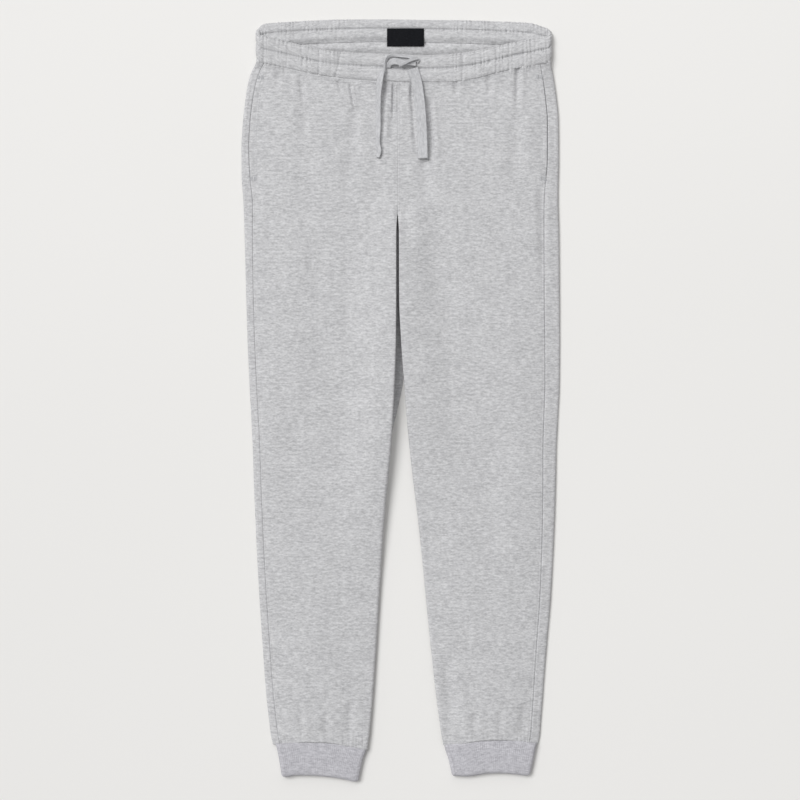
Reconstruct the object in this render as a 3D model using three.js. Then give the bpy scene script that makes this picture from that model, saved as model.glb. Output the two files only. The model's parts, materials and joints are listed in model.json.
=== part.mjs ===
// Jogger sweatpants laid flat, face up, on a floor at z = 0. Millimetres.
// +X points to the wearer's left leg, +Y to the waist and +Z up. The origin is the middle of the floor print.
// "down" is the distance below the top of the back waistband, "out" the distance from the centre seam.
import * as THREE from "three";

// Driving dimensions
const LENGTH = 1022; // top of the back waistband to the lowest corner of the cuffs
const CENTRE_X = -4; // the centre seam lies a little off the middle of the laid garment
const JERSEY = 3.0; // brushed sweatshirt jersey, one layer
const BODY_HOLLOW = 3.6; // what stays between front and back where the garment lies empty
const BODY = 2 * JERSEY + BODY_HOLLOW; // height of the laid legs and hips
const FOLD_RADIUS = 6; // half width of the outer fold of a leg
const EDGE_RADIUS = 6; // half width of the inner edge of a leg, where the inseam runs
const BAND_WALL = 4.4; // two layers of jersey with the elastic between
const BAND_HOLLOW = 3.0;
const BAND = 2 * BAND_WALL + BAND_HOLLOW;
const CUFF_WALL = 3.6; // rib knit, folded double
const CUFF_HOLLOW = 2.6;
const CUFF = 2 * CUFF_WALL + CUFF_HOLLOW;
const SEAM = 0.3; // gap between two sewn pieces
const CURVED_SEAM = 0.5; // the same at the waistband and the cuffs, whose seams are curved
const CROTCH_DOWN = 262; // where the legs part
const CROTCH_LENGTH = 26; // the panels turn from an open edge to a closed leg over this length

// Waistband
const GATHERS_PER_HALF = 56;
const GATHER_HEIGHT = 0.9; // how far a gather stands out of the band
const MIDDLE_STITCH = 0.49; // place of the sewn line between the two elastic channels, from the top edge
const CHANNEL_PUFF = 0.8;

// Cuffs
const RIBS_PER_FACE = 26;
const RIB_HEIGHT = 0.7;
const CUFF_BACK_STOPS = 10; // the plain underside needs few

// Pockets
const MOUTH_TOP = 78; // down
const MOUTH_BOTTOM = 214; // down
const MOUTH_OPEN = 1.3; // extra width of the mouth at its middle
const BAG_LAYER = 0.8;
const BAG_UNDER = 3; // how far each bag layer passes the mouth
const BAG_CLEARANCE = 0.4; // between the bag and the panels

// Label and drawstring
const LABEL = { left: 387, right: 424, top: 12.5, bottom: 36.5, thickness: 0.7 }; // left, right in pixels
const LABEL_BOW = 0.3; // how far its middle stands up
const LABEL_CLEARANCE = 0.5; // over the gathers that it is sewn to
const TAPE_WIDTH = 14;
const TAPE_THICKNESS = 2.0;

// The photograph is 800 pixels wide, and one pixel is this many millimetres on the floor.
const PIXEL = 1.34;
const PHOTO_CENTRE = 400.5; // the column of pixels over x = 0
const PHOTO_TOP = 19; // the row of pixels at the top of the back waistband

const COLOURS = {
  jersey: { color: 0xc6c7cb, roughness: 0.95 },
  rib: { color: 0xbcbdc2, roughness: 0.95 },
  label: { color: 0x16171b, roughness: 0.7 },
};

// Leg outlines, a row for each section. outer: the outer fold, inner: the leg's edge at the gap between the
// legs, margin: how far the back panel comes round to the front before the side seam.
const RIGHT_LEG = {
  sign: -1,
  rows: [
    { down: 24, outer: 188.0, inner: 0, margin: 11.5 },
    { down: 57, outer: 189.6, inner: 0, margin: 11.5 },
    { down: 68, outer: 195.0, inner: 0, margin: 11.3 },
    { down: 82, outer: 200.0, inner: 0, margin: 11.0 },
    { down: 109, outer: 204.4, inner: 0, margin: 10.0 },
    { down: 135, outer: 207.5, inner: 0, margin: 10.0 },
    { down: 175, outer: 209.6, inner: 0, margin: 10.2 },
    { down: 212, outer: 209.2, inner: 0, margin: 11.5 },
    { down: 243, outer: 207.0, inner: 0, margin: 12.5 },
    { down: CROTCH_DOWN, outer: 206.2, inner: 0, margin: 12.0 },
    { down: 284, outer: 205.5, inner: 1.5, margin: 11.0 },
    { down: 377, outer: 203.0, inner: 1.6, margin: 9.8 },
    { down: 430, outer: 201.4, inner: 2.0, margin: 9.8 },
    { down: 484, outer: 199.0, inner: 3.6, margin: 9.8 },
    { down: 537, outer: 196.2, inner: 6.2, margin: 9.8 },
    { down: 578, outer: 194.2, inner: 8.9, margin: 9.8 },
    { down: 618, outer: 193.0, inner: 12.7, margin: 9.8 },
    { down: 671, outer: 190.8, inner: 17.6, margin: 9.8 },
    { down: 725, outer: 188.3, inner: 21.2, margin: 9.8 },
    { down: 779, outer: 185.2, inner: 24.6, margin: 9.8 },
    { down: 832, outer: 181.6, inner: 27.7, margin: 9.8 },
    { down: 886, outer: 177.9, inner: 31.4, margin: 9.8 },
    { down: 913, outer: 175.6, inner: 33.4, margin: 9.8 },
    { down: 939, outer: 172.6, inner: 35.6, margin: 9.8 },
    { down: 958, outer: 170.4, inner: 37.4, margin: 9.8 },
    { down: 980, outer: 166.5, inner: 40.0, margin: 9.8 },
  ],
};
const LEFT_LEG = {
  sign: 1,
  rows: [
    { down: 24, outer: 205.0, inner: 0, margin: 14.5 },
    { down: 59, outer: 206.0, inner: 0, margin: 14.5 },
    { down: 68, outer: 207.3, inner: 0, margin: 14.6 },
    { down: 82, outer: 210.0, inner: 0, margin: 14.8 },
    { down: 109, outer: 213.7, inner: 0, margin: 15.0 },
    { down: 135, outer: 216.0, inner: 0, margin: 15.2 },
    { down: 189, outer: 216.4, inner: 0, margin: 15.6 },
    { down: 216, outer: 215.8, inner: 0, margin: 17.0 },
    { down: 243, outer: 215.4, inner: 0, margin: 18.6 },
    { down: CROTCH_DOWN, outer: 216.0, inner: 0, margin: 19.4 },
    { down: 284, outer: 216.5, inner: 1.8, margin: 20.0 },
    { down: 377, outer: 217.4, inner: 2.2, margin: 20.4 },
    { down: 430, outer: 217.7, inner: 4.6, margin: 20.0 },
    { down: 484, outer: 217.4, inner: 8.4, margin: 19.4 },
    { down: 537, outer: 215.0, inner: 12.4, margin: 18.6 },
    { down: 578, outer: 213.0, inner: 16.4, margin: 17.8 },
    { down: 618, outer: 212.2, inner: 20.8, margin: 17.0 },
    { down: 671, outer: 210.6, inner: 27.4, margin: 16.0 },
    { down: 725, outer: 208.2, inner: 33.2, margin: 15.0 },
    { down: 779, outer: 205.2, inner: 38.2, margin: 14.2 },
    { down: 832, outer: 200.6, inner: 43.5, margin: 13.4 },
    { down: 886, outer: 196.3, inner: 49.3, margin: 12.6 },
    { down: 913, outer: 194.4, inner: 52.4, margin: 12.2 },
    { down: 939, outer: 192.3, inner: 56.0, margin: 12.0 },
    { down: 958, outer: 191.0, inner: 58.6, margin: 12.0 },
    { down: 980, outer: 188.0, inner: 62.0, margin: 12.0 },
  ],
};

// Edges of the waistband by x: its top edge and its sewn lower edge, on the front half and on the back half.
const BAND_LEFT_X = -193;
const BAND_RIGHT_X = 202.5;
const BAND_EDGES = [
  { x: -193, frontTop: 21.0, frontSeam: 57.4, backTop: 9.0, backSeam: 38.5 },
  { x: -179, frontTop: 24.6, frontSeam: 60.4, backTop: 5.6, backSeam: 37.0 },
  { x: -147, frontTop: 32.4, frontSeam: 67.0, backTop: 3.4, backSeam: 34.0 },
  { x: -117, frontTop: 39.4, frontSeam: 73.8, backTop: 1.6, backSeam: 32.0 },
  { x: -86, frontTop: 44.6, frontSeam: 78.5, backTop: 0.4, backSeam: 30.8 },
  { x: -34, frontTop: 46.9, frontSeam: 82.8, backTop: 0.0, backSeam: 29.4 },
  { x: 28, frontTop: 49.4, frontSeam: 85.0, backTop: 0.6, backSeam: 30.2 },
  { x: 64, frontTop: 48.2, frontSeam: 84.8, backTop: 1.0, backSeam: 31.0 },
  { x: 102, frontTop: 43.2, frontSeam: 79.6, backTop: 1.8, backSeam: 32.0 },
  { x: 128, frontTop: 37.4, frontSeam: 72.6, backTop: 2.8, backSeam: 33.0 },
  { x: 173, frontTop: 28.0, frontSeam: 63.4, backTop: 5.0, backSeam: 36.5 },
  { x: 202, frontTop: 23.0, frontSeam: 59.0, backTop: 12.0, backSeam: 40.0 },
];

// Cuffs: sides by down. The sewn upper edge and the hem go by share, from the inner to the outer side.
const RIGHT_CUFF = {
  sides: [
    { down: 966, inner: 42.4, outer: 162.8 },
    { down: 978, inner: 45.0, outer: 160.4 },
    { down: 994, inner: 47.6, outer: 158.0 },
    { down: 1022, inner: 51.9, outer: 155.0 },
  ],
  edges: [
    { share: 0.0, seam: 978.5, hem: 1022.0 },
    { share: 0.15, seam: 974.5, hem: 1019.2 },
    { share: 0.45, seam: 968.2, hem: 1015.2 },
    { share: 0.65, seam: 967.6, hem: 1014.0 },
    { share: 0.85, seam: 970.4, hem: 1013.8 },
    { share: 1.0, seam: 971.2, hem: 1016.0 },
  ],
};
const LEFT_CUFF = {
  sides: [
    { down: 962, inner: 63.4, outer: 187.6 },
    { down: 978, inner: 66.6, outer: 184.0 },
    { down: 994, inner: 69.4, outer: 181.4 },
    { down: 1017, inner: 73.0, outer: 177.8 },
  ],
  edges: [
    { share: 0.0, seam: 972.0, hem: 1014.6 },
    { share: 0.15, seam: 970.6, hem: 1015.0 },
    { share: 0.45, seam: 965.2, hem: 1011.4 },
    { share: 0.62, seam: 964.6, hem: 1010.8 },
    { share: 0.85, seam: 968.2, hem: 1012.4 },
    { share: 1.0, seam: 970.2, hem: 1014.0 },
  ],
};

// Shallow creases that run down from the waistband: out from the centre seam, how far down they reach, depth.
const CREASES = [
  { leg: RIGHT_LEG, out: 58, end: 130, depth: 0.9 },
  { leg: RIGHT_LEG, out: 82, end: 112, depth: 0.6 },
  { leg: RIGHT_LEG, out: 128, end: 128, depth: 0.7 },
  { leg: LEFT_LEG, out: 78, end: 120, depth: 0.7 },
  { leg: LEFT_LEG, out: 161, end: 150, depth: 0.9 },
];
const CREASE_HALF_WIDTH = 9;
const CREASE_FADE = 60; // a crease runs out over this length, two thirds of it above its end
const CREASE_INSIDE = 0.6; // share of a crease that also shows on the inner face

// How far the pocket bags reach from the mouth towards the centre.
const BAG_ROWS = [88, 110, 140, 170, 200, 222, 238, 248, 254]; // down
const BAG_OUTLINE = [
  { down: 88, reach: 112 },
  { down: 130, reach: 124 },
  { down: 200, reach: 128 },
  { down: 236, reach: 112 },
  { down: 254, reach: 72 },
];

// Routes of the tied drawstring. px and py are the photograph's pixels, z is the middle of the tape,
// lean is how far the tape is turned from lying flat, in degrees. width is its width there, less than
// TAPE_WIDTH where the tape is pulled narrow in the knot or has curled up along its length.
const LOOP_ROUTE = [
  { px: 387.2, py: 67.2, z: 13.5, lean: 6, width: 8 },
  { px: 388.6, py: 63.0, z: 15.1, lean: 5, width: 9.5 },
  { px: 393.0, py: 61.8, z: 15.9, lean: 0, width: 10.5 },
  { px: 400.0, py: 62.4, z: 16.2, lean: 0, width: 10 },
  { px: 408.0, py: 63.4, z: 15.8, lean: 0, width: 8.5 },
  { px: 415.5, py: 64.0, z: 15.0, lean: 0, width: 7 },
];
const CROSS_ROUTE = [
  { px: 399.2, py: 68.0, z: 17.8, lean: 30, width: 5 },
  { px: 404.4, py: 65.2, z: 19.6, lean: 20, width: 5 },
  { px: 410.4, py: 62.0, z: 19.4, lean: 8, width: 5 },
  { px: 418.4, py: 59.2, z: 17.0, lean: 0, width: 6 },
];
const RIGHT_END_ROUTE = [
  { px: 382.4, py: 72.2, z: 19.4, lean: 40, width: 8 },
  { px: 381.0, py: 77.0, z: 19.0, lean: 38, width: 9.6 },
  { px: 379.6, py: 85.0, z: 18.2, lean: 36, width: 10 },
  { px: 378.5, py: 96.0, z: 15.4, lean: 42, width: 9.4 },
  { px: 378.5, py: 111.0, z: 14.2, lean: 40, width: 8 },
  { px: 378.5, py: 127.0, z: 12.9, lean: 24, width: 7 },
  { px: 378.0, py: 142.0, z: 13.2, lean: 36, width: 6.5 },
  { px: 379.2, py: 151.0, z: 13.2, lean: 32, width: 7 },
  { px: 378.0, py: 158.0, z: 13.0, lean: 38, width: 5 },
];
const LEFT_END_ROUTE = [
  { px: 412.8, py: 69.6, z: 15.5, lean: -4, width: TAPE_WIDTH },
  { px: 415.4, py: 78.0, z: 15.4, lean: 0, width: TAPE_WIDTH },
  { px: 417.6, py: 87.0, z: 14.8, lean: 9, width: TAPE_WIDTH },
  { px: 419.4, py: 100.0, z: 14.0, lean: 16, width: TAPE_WIDTH },
  { px: 421.0, py: 116.0, z: 13.6, lean: 20, width: TAPE_WIDTH },
  { px: 422.0, py: 132.0, z: 13.6, lean: 20, width: TAPE_WIDTH },
  { px: 422.6, py: 146.0, z: 13.6, lean: 20, width: TAPE_WIDTH },
  { px: 422.9, py: 159.0, z: 13.8, lean: 20, width: TAPE_WIDTH },
];

// Helpers
const mix = (a, b, share) => a + (b - a) * share;
const clamp01 = (t) => Math.min(1, Math.max(0, t));
const smooth = (t) => clamp01(t) ** 2 * (3 - 2 * clamp01(t));
const yOf = (down) => LENGTH / 2 - down;

// The value of one column of a table at a place in another, on a curve that never overshoots its rows.
function read(rows, key, column, at) {
  const last = rows.length - 1;
  if (at <= rows[0][key]) return rows[0][column];
  if (at >= rows[last][key]) return rows[last][column];
  let i = 0;
  while (at > rows[i + 1][key]) i++;
  const slope = (k) => {
    if (k < 0 || k >= last) return 0;
    return (rows[k + 1][column] - rows[k][column]) / (rows[k + 1][key] - rows[k][key]);
  };
  const tangent = (k) => {
    const before = slope(k - 1);
    const after = slope(k);
    return before * after > 0 ? (2 * before * after) / (before + after) : 0;
  };
  const step = rows[i + 1][key] - rows[i][key];
  const t = (at - rows[i][key]) / step;
  const start = (1 + 2 * t) * (1 - t) ** 2 * rows[i][column];
  const end = t * t * (3 - 2 * t) * rows[i + 1][column];
  return start + end + step * t * (1 - t) * ((1 - t) * tangent(i) - t * tangent(i + 1));
}

// A mesh geometry from points and quads, with its faces turned outwards.
function closedGeometry(points, quads) {
  const split = ([a, b, c, d]) => (d === undefined ? [[a, b, c]] : [[a, b, c], [a, c, d]]);
  const triangles = quads.flatMap(split);
  let volume = 0;
  for (const [a, b, c] of triangles) {
    const [p, q, r] = [points[a], points[b], points[c]];
    volume += p[0] * (q[1] * r[2] - q[2] * r[1]) - p[1] * (q[0] * r[2] - q[2] * r[0]);
    volume += p[2] * (q[0] * r[1] - q[1] * r[0]);
  }
  const ordered = volume < 0 ? triangles.map(([a, b, c]) => [a, c, b]) : triangles;
  const geometry = new THREE.BufferGeometry();
  geometry.setAttribute("position", new THREE.Float32BufferAttribute(points.flat(), 3));
  geometry.setIndex(ordered.flat());
  geometry.computeVertexNormals();
  return geometry;
}

// A cloth wall between two grids of points, outer[i][j] and inner[i][j], closed along its four edges.
function wall(outer, inner) {
  const across = outer.length;
  const along = outer[0].length;
  const points = [...outer.flat(), ...inner.flat()];
  const front = (i, j) => i * along + j;
  const back = (i, j) => across * along + front(i, j);
  const quads = [];
  for (let i = 0; i < across - 1; i++) {
    for (let j = 0; j < along - 1; j++) {
      quads.push([front(i, j), front(i + 1, j), front(i + 1, j + 1), front(i, j + 1)]);
      quads.push([back(i, j), back(i, j + 1), back(i + 1, j + 1), back(i + 1, j)]);
    }
    quads.push([front(i, 0), back(i, 0), back(i + 1, 0), front(i + 1, 0)]);
    const end = along - 1;
    quads.push([front(i, end), front(i + 1, end), back(i + 1, end), back(i, end)]);
  }
  for (let j = 0; j < along - 1; j++) {
    quads.push([front(0, j), front(0, j + 1), back(0, j + 1), back(0, j)]);
    const side = across - 1;
    quads.push([front(side, j), back(side, j), back(side, j + 1), front(side, j + 1)]);
  }
  return closedGeometry(points, quads);
}

// A tube of sections: closed round itself as a ring, or with flat ends.
function loft(sections, isRing) {
  const size = sections[0].length;
  const count = sections.length;
  const quads = [];
  for (let i = 0; i < (isRing ? count : count - 1); i++) {
    const next = (i + 1) % count;
    for (let k = 0; k < size; k++) {
      const after = (k + 1) % size;
      quads.push([i * size + k, next * size + k, next * size + after, i * size + after]);
    }
  }
  if (!isRing) {
    for (let k = 1; k < size - 1; k++) {
      quads.push([0, k, k + 1]);
      quads.push([(count - 1) * size, (count - 1) * size + k + 1, (count - 1) * size + k]);
    }
  }
  return closedGeometry(sections.flat(), quads);
}

// Panels of the legs and hips

// Sizes of one leg's section at a place down its length.
function sectionOf(leg, down) {
  return {
    outer: read(leg.rows, "down", "outer", down),
    inner: Math.max(read(leg.rows, "down", "inner", down), SEAM / 2),
    margin: read(leg.rows, "down", "margin", down),
    closed: smooth((down - CROTCH_DOWN) / CROTCH_LENGTH),
  };
}

// Half of the gap between the panels at the side seam, wider along the pocket mouth.
function sideGap(down) {
  const along = clamp01((down - MOUTH_TOP) / (MOUTH_BOTTOM - MOUTH_TOP));
  return SEAM / 2 + MOUTH_OPEN * Math.sin(Math.PI * along) ** 0.5 * 0.5;
}

// The stops of a path round a panel's section, from the side seam to the inseam on the front,
// and from the inseam over the floor and round the outer fold to the side seam on the back.
const TOP_STOPS = 12;
const EDGE_STOPS = 3;
const FLOOR_STOPS = 6;
const FOLD_STOPS = 6;
const FRONT_STOPS = [];
for (let i = 0; i <= TOP_STOPS; i++) FRONT_STOPS.push({ place: "top", share: i / TOP_STOPS });
for (let i = 1; i <= EDGE_STOPS; i++) FRONT_STOPS.push({ place: "edge", share: i / EDGE_STOPS });
const BACK_STOPS = [];
for (let i = EDGE_STOPS; i > 0; i--) BACK_STOPS.push({ place: "edge", share: i / EDGE_STOPS });
for (let i = 0; i < FLOOR_STOPS; i++) BACK_STOPS.push({ place: "floor", share: i / FLOOR_STOPS });
for (let i = 0; i <= FOLD_STOPS; i++) BACK_STOPS.push({ place: "fold", share: i / FOLD_STOPS });
BACK_STOPS.push({ place: "margin", share: 1 });

// The rounded inner edge of a leg, on the front (top of the wall) or mirrored on the back.
function edgePoint(section, share, isFace, isBack) {
  const angle = (share * Math.PI) / 2;
  const reach = isFace ? EDGE_RADIUS : EDGE_RADIUS - JERSEY * section.closed;
  const level = isFace ? 0 : JERSEY;
  const drop = (BODY - SEAM) / 2 - level;
  const depth = level + section.closed * drop * (1 - Math.cos(angle));
  return { out: section.inner + EDGE_RADIUS - reach * Math.sin(angle), z: isBack ? depth : BODY - depth };
}

function creaseDepth(leg, out, down) {
  let depth = 0;
  for (const crease of CREASES) {
    if (crease.leg !== leg) continue;
    const across = Math.max(0, 1 - Math.abs(out - crease.out) / CREASE_HALF_WIDTH);
    depth += crease.depth * across * (1 - smooth((down - crease.end) / CREASE_FADE + 2 / 3));
  }
  return depth;
}

function frontPoint(leg, stop, down, isFace) {
  const section = sectionOf(leg, down);
  if (stop.place === "edge") return edgePoint(section, stop.share, isFace, false);
  const seam = section.outer - section.margin - sideGap(down);
  const out = mix(seam, section.inner + EDGE_RADIUS, stop.share);
  const sunk = creaseDepth(leg, out, down);
  return { out, z: BODY - (isFace ? sunk : JERSEY + sunk * CREASE_INSIDE) };
}

function backPoint(leg, stop, down, isFace) {
  const section = sectionOf(leg, down);
  if (stop.place === "edge") return edgePoint(section, stop.share, isFace, true);
  const middle = section.outer - FOLD_RADIUS;
  const level = isFace ? 0 : JERSEY;
  if (stop.place === "floor") {
    return { out: mix(section.inner + EDGE_RADIUS, middle, stop.share), z: level };
  }
  if (stop.place === "margin") {
    return { out: section.outer - section.margin + sideGap(down), z: BODY - level };
  }
  const angle = (stop.share - 0.5) * Math.PI;
  const reach = FOLD_RADIUS - level;
  return { out: middle + reach * Math.cos(angle), z: BODY / 2 + (BODY / 2 - level) * Math.sin(angle) };
}

// An edge of the waistband at an x, level past the ends of its straight stretch, where it folds.
function bandEdge(column, x) {
  const straight = Math.min(BAND_RIGHT_X - BAND / 2, Math.max(BAND_LEFT_X + BAND / 2, x));
  return read(BAND_EDGES, "x", column, straight);
}

// The waist seam that a stop's column starts from, and the cuff seam that it ends at.
const FRONT_WAIST_DOWN = 60; // level at which a column's place along the waist seam is read
const BACK_WAIST_DOWN = 40;
function waistSeam(leg, stop, isBack) {
  const point = isBack ? backPoint : frontPoint;
  const at = point(leg, stop, isBack ? BACK_WAIST_DOWN : FRONT_WAIST_DOWN, true);
  const x = CENTRE_X + leg.sign * at.out;
  const front = bandEdge("frontSeam", x);
  const back = bandEdge("backSeam", x);
  if (!isBack || stop.place === "margin") return front + CURVED_SEAM / 2;
  return (stop.place === "fold" ? mix(back, front, stop.share) : back) + CURVED_SEAM / 2;
}

// The sewn edge between a leg and its cuff, by the distance from the centre seam.
const CUFF_SEAM_DOWN = 968;
function cuffSeamAt(leg, cuff, out) {
  const section = sectionOf(leg, CUFF_SEAM_DOWN);
  return read(cuff.edges, "share", "seam", (out - section.inner) / (section.outer - section.inner));
}

function cuffSeam(leg, cuff, stop, isBack, isFace) {
  const point = isBack ? backPoint : frontPoint;
  return cuffSeamAt(leg, cuff, point(leg, stop, CUFF_SEAM_DOWN, isFace).out) - CURVED_SEAM / 2;
}

// Rows of a panel: fanned from the waist seam, level along the legs, fanned again to the cuff seam.
const WAIST_ROWS = 7;
const CUFF_ROWS = 2;
const LEVEL_ROWS = [200, 235, 262, 269, 277, 288, 330, 377, 430, 484, 537];
LEVEL_ROWS.push(590, 645, 700, 755, 810, 862, 905, 940);
function rowDowns(top, bottom) {
  const first = LEVEL_ROWS[0];
  const last = LEVEL_ROWS[LEVEL_ROWS.length - 1];
  const downs = [];
  for (let i = 0; i < WAIST_ROWS; i++) downs.push(mix(top, first, i / WAIST_ROWS));
  downs.push(...LEVEL_ROWS);
  for (let i = 1; i <= CUFF_ROWS; i++) downs.push(mix(last, bottom, i / CUFF_ROWS));
  return downs;
}

function panel(leg, cuff, isBack) {
  const stops = isBack ? BACK_STOPS : FRONT_STOPS;
  const point = isBack ? backPoint : frontPoint;
  const grid = (isFace) =>
    stops.map((stop) =>
      rowDowns(waistSeam(leg, stop, isBack), cuffSeam(leg, cuff, stop, isBack, isFace)).map((down) => {
        const at = point(leg, stop, down, isFace);
        return [CENTRE_X + leg.sign * at.out, yOf(down), at.z];
      }),
    );
  return wall(grid(true), grid(false));
}

// Waistband

// One sewn section of the band: y along its height, lift out of the wall's own face, for both faces.
const BAND_PROFILE = [
  { face: "outer", share: 0.0, lift: -1.3, gather: 0.3 },
  { face: "outer", share: MIDDLE_STITCH * 0.5, lift: CHANNEL_PUFF, gather: 1 },
  { face: "outer", share: MIDDLE_STITCH, lift: -0.7, gather: 0.5 },
  { face: "outer", share: (1 + MIDDLE_STITCH) / 2, lift: CHANNEL_PUFF, gather: 1 },
  { face: "outer", share: 1.0, lift: -0.8, gather: 0.4 },
  { face: "inner", share: 1.0, lift: -0.5, gather: 0 },
  { face: "inner", share: (1 + MIDDLE_STITCH) / 2, lift: 0.2, gather: 1 },
  { face: "inner", share: MIDDLE_STITCH, lift: -0.6, gather: 0.5 },
  { face: "inner", share: MIDDLE_STITCH * 0.5, lift: 0.2, gather: 1 },
  { face: "inner", share: 0.0, lift: -1.0, gather: 0.3 },
];

// Strength of the gathers along the band: weaker over the flat middle, full towards the sides.
const MIDDLE_GATHER = 0.45;
const FLAT_MIDDLE = 30;
const STRENGTH_RUN = 90;
function gatherStrength(x) {
  return mix(MIDDLE_GATHER, 1, smooth((Math.abs(x - CENTRE_X) - FLAT_MIDDLE) / STRENGTH_RUN));
}

// Gathers stand out at every other station and sink between them, and no two are alike.
const GATHER_SINK = 0.35;
const GATHER_UNEVEN = 0.25;
const UNEVEN_TURN = 1.7; // turn of the unevenness from one gather to the next, in radians

function gatherWave(i) {
  return (i % 2 ? -GATHER_SINK : 1) * (1 - GATHER_UNEVEN + GATHER_UNEVEN * Math.sin(i * UNEVEN_TURN));
}

// How much of a ring's outer relief shows at a turn from its front (0) round the fold to its back (1).
const FLAT_BEHIND = 0.6;
const reliefAt = (turn) => 1 - smooth(turn * (1 + FLAT_BEHIND) - FLAT_BEHIND);
const RING_FOLD_STOPS = 6;

function bandSection(x, out, z, normal, turn, wave) {
  const edge = (column) => mix(bandEdge(`front${column}`, x), bandEdge(`back${column}`, x), turn);
  const top = edge("Top");
  const seam = edge("Seam") - CURVED_SEAM / 2;
  return BAND_PROFILE.map((row) => {
    const isOuter = row.face === "outer";
    const shown = isOuter ? reliefAt(turn) : 1 - reliefAt(turn);
    const lift = (row.lift + GATHER_HEIGHT * row.gather * wave * gatherStrength(x)) * shown;
    const depth = isOuter ? lift : -BAND_WALL - lift;
    return [out + normal.x * depth, yOf(mix(top, seam, row.share)), z + normal.z * depth];
  });
}

function waistband() {
  const radius = BAND / 2;
  const folds = RING_FOLD_STOPS;
  const stations = 2 * GATHERS_PER_HALF;
  const left = BAND_LEFT_X + radius;
  const right = BAND_RIGHT_X - radius;
  const sections = [];
  for (let i = 0; i < stations; i++) {
    const x = mix(left, right, i / stations);
    sections.push(bandSection(x, x, BAND, { x: 0, z: 1 }, 0, gatherWave(i)));
  }
  for (let i = 0; i < folds; i++) {
    const angle = (i / folds) * Math.PI;
    const normal = { x: Math.sin(angle), z: Math.cos(angle) };
    const place = [right + radius * normal.x, radius * (1 + normal.z)];
    sections.push(bandSection(right, ...place, normal, i / folds, gatherWave(i)));
  }
  for (let i = 0; i < stations; i++) {
    const x = mix(right, left, i / stations);
    sections.push(bandSection(x, x, 0, { x: 0, z: -1 }, 1, gatherWave(i)));
  }
  for (let i = 0; i < folds; i++) {
    const angle = (i / folds) * Math.PI;
    const normal = { x: -Math.sin(angle), z: -Math.cos(angle) };
    const place = [left + radius * normal.x, radius * (1 + normal.z)];
    sections.push(bandSection(left, ...place, normal, 1 - i / folds, gatherWave(i)));
  }
  return loft(sections, true);
}

// Cuffs
const CUFF_PROFILE = [
  { face: "outer", share: 0.0, lift: -0.5, rib: 0.4 },
  { face: "outer", share: 0.12, lift: 0.2, rib: 1 },
  { face: "outer", share: 0.9, lift: 0.2, rib: 1 },
  { face: "outer", share: 1.0, lift: -1.0, rib: 0.4 },
  { face: "inner", share: 1.0, lift: -0.6, rib: 0 },
  { face: "inner", share: 0.9, lift: 0, rib: 0 },
  { face: "inner", share: 0.12, lift: 0, rib: 0 },
  { face: "inner", share: 0.0, lift: -0.3, rib: 0 },
];

function cuffRing(leg, cuff) {
  const radius = CUFF / 2;
  const folds = RING_FOLD_STOPS;
  const point = (share, normal, turned, rib) => {
    const shown = reliefAt(turned);
    const hem = read(cuff.edges, "share", "hem", share);
    return CUFF_PROFILE.map((row) => {
      const lift = (row.lift + RIB_HEIGHT * row.rib * rib) * (row.face === "outer" ? shown : 1);
      const depth = radius + (row.face === "outer" ? lift : -CUFF_WALL - lift);
      const outAt = (down) => {
        const inner = read(cuff.sides, "down", "inner", down) + radius;
        const outer = read(cuff.sides, "down", "outer", down) - radius;
        return mix(inner, outer, share) + normal.out * depth;
      };
      const seam = cuffSeamAt(leg, cuff, outAt(CUFF_SEAM_DOWN)) + CURVED_SEAM / 2;
      const down = mix(seam, hem, row.share);
      return [CENTRE_X + leg.sign * outAt(down), yOf(down), radius + normal.z * depth];
    });
  };
  const sections = [];
  for (let i = 0; i < 2 * RIBS_PER_FACE; i++) {
    sections.push(point(i / (2 * RIBS_PER_FACE), { out: 0, z: 1 }, 0, i % 2));
  }
  for (let i = 0; i < folds; i++) {
    const angle = (i / folds) * Math.PI;
    sections.push(point(1, { out: Math.sin(angle), z: Math.cos(angle) }, i / folds, i % 2));
  }
  for (let i = 0; i < CUFF_BACK_STOPS; i++) {
    sections.push(point(1 - i / CUFF_BACK_STOPS, { out: 0, z: -1 }, 1, 0));
  }
  for (let i = 0; i < folds; i++) {
    const angle = (i / folds) * Math.PI;
    sections.push(point(0, { out: -Math.sin(angle), z: -Math.cos(angle) }, 1 - i / folds, i % 2));
  }
  return loft(sections, true);
}

// Pocket bag: one thin layer folded into a U whose open side lies at the mouth.
function pocketBag(leg) {
  const low = JERSEY + BAG_CLEARANCE;
  const high = BODY - JERSEY - BAG_CLEARANCE;
  const middle = (low + high) / 2;
  const rise = (high - low) / 2;
  const layerStops = 4;
  const turnStops = 4;
  const grid = (isFace) => {
    const inset = isFace ? 0 : BAG_LAYER;
    const columns = [];
    const column = (place) =>
      columns.push(
        BAG_ROWS.map((down) => {
          const section = sectionOf(leg, down);
          const mouth = section.outer - section.margin;
          const at = place(mouth, mouth - read(BAG_OUTLINE, "down", "reach", down));
          return [CENTRE_X + leg.sign * at.out, yOf(down), at.z];
        }),
      );
    for (let i = 0; i <= layerStops; i++) {
      column((mouth, end) => ({ out: mix(mouth + BAG_UNDER, end, i / layerStops), z: low + inset }));
    }
    for (let i = 1; i < turnStops; i++) {
      const angle = (i / turnStops) * Math.PI;
      const reach = rise - inset;
      const place = { side: reach * Math.sin(angle), z: middle - reach * Math.cos(angle) };
      column((mouth, end) => ({ out: end - place.side, z: place.z }));
    }
    for (let i = 0; i <= layerStops; i++) {
      column((mouth, end) => ({ out: mix(end, mouth - BAG_UNDER, i / layerStops), z: high - inset }));
    }
    return columns;
  };
  return wall(grid(true), grid(false));
}

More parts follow.
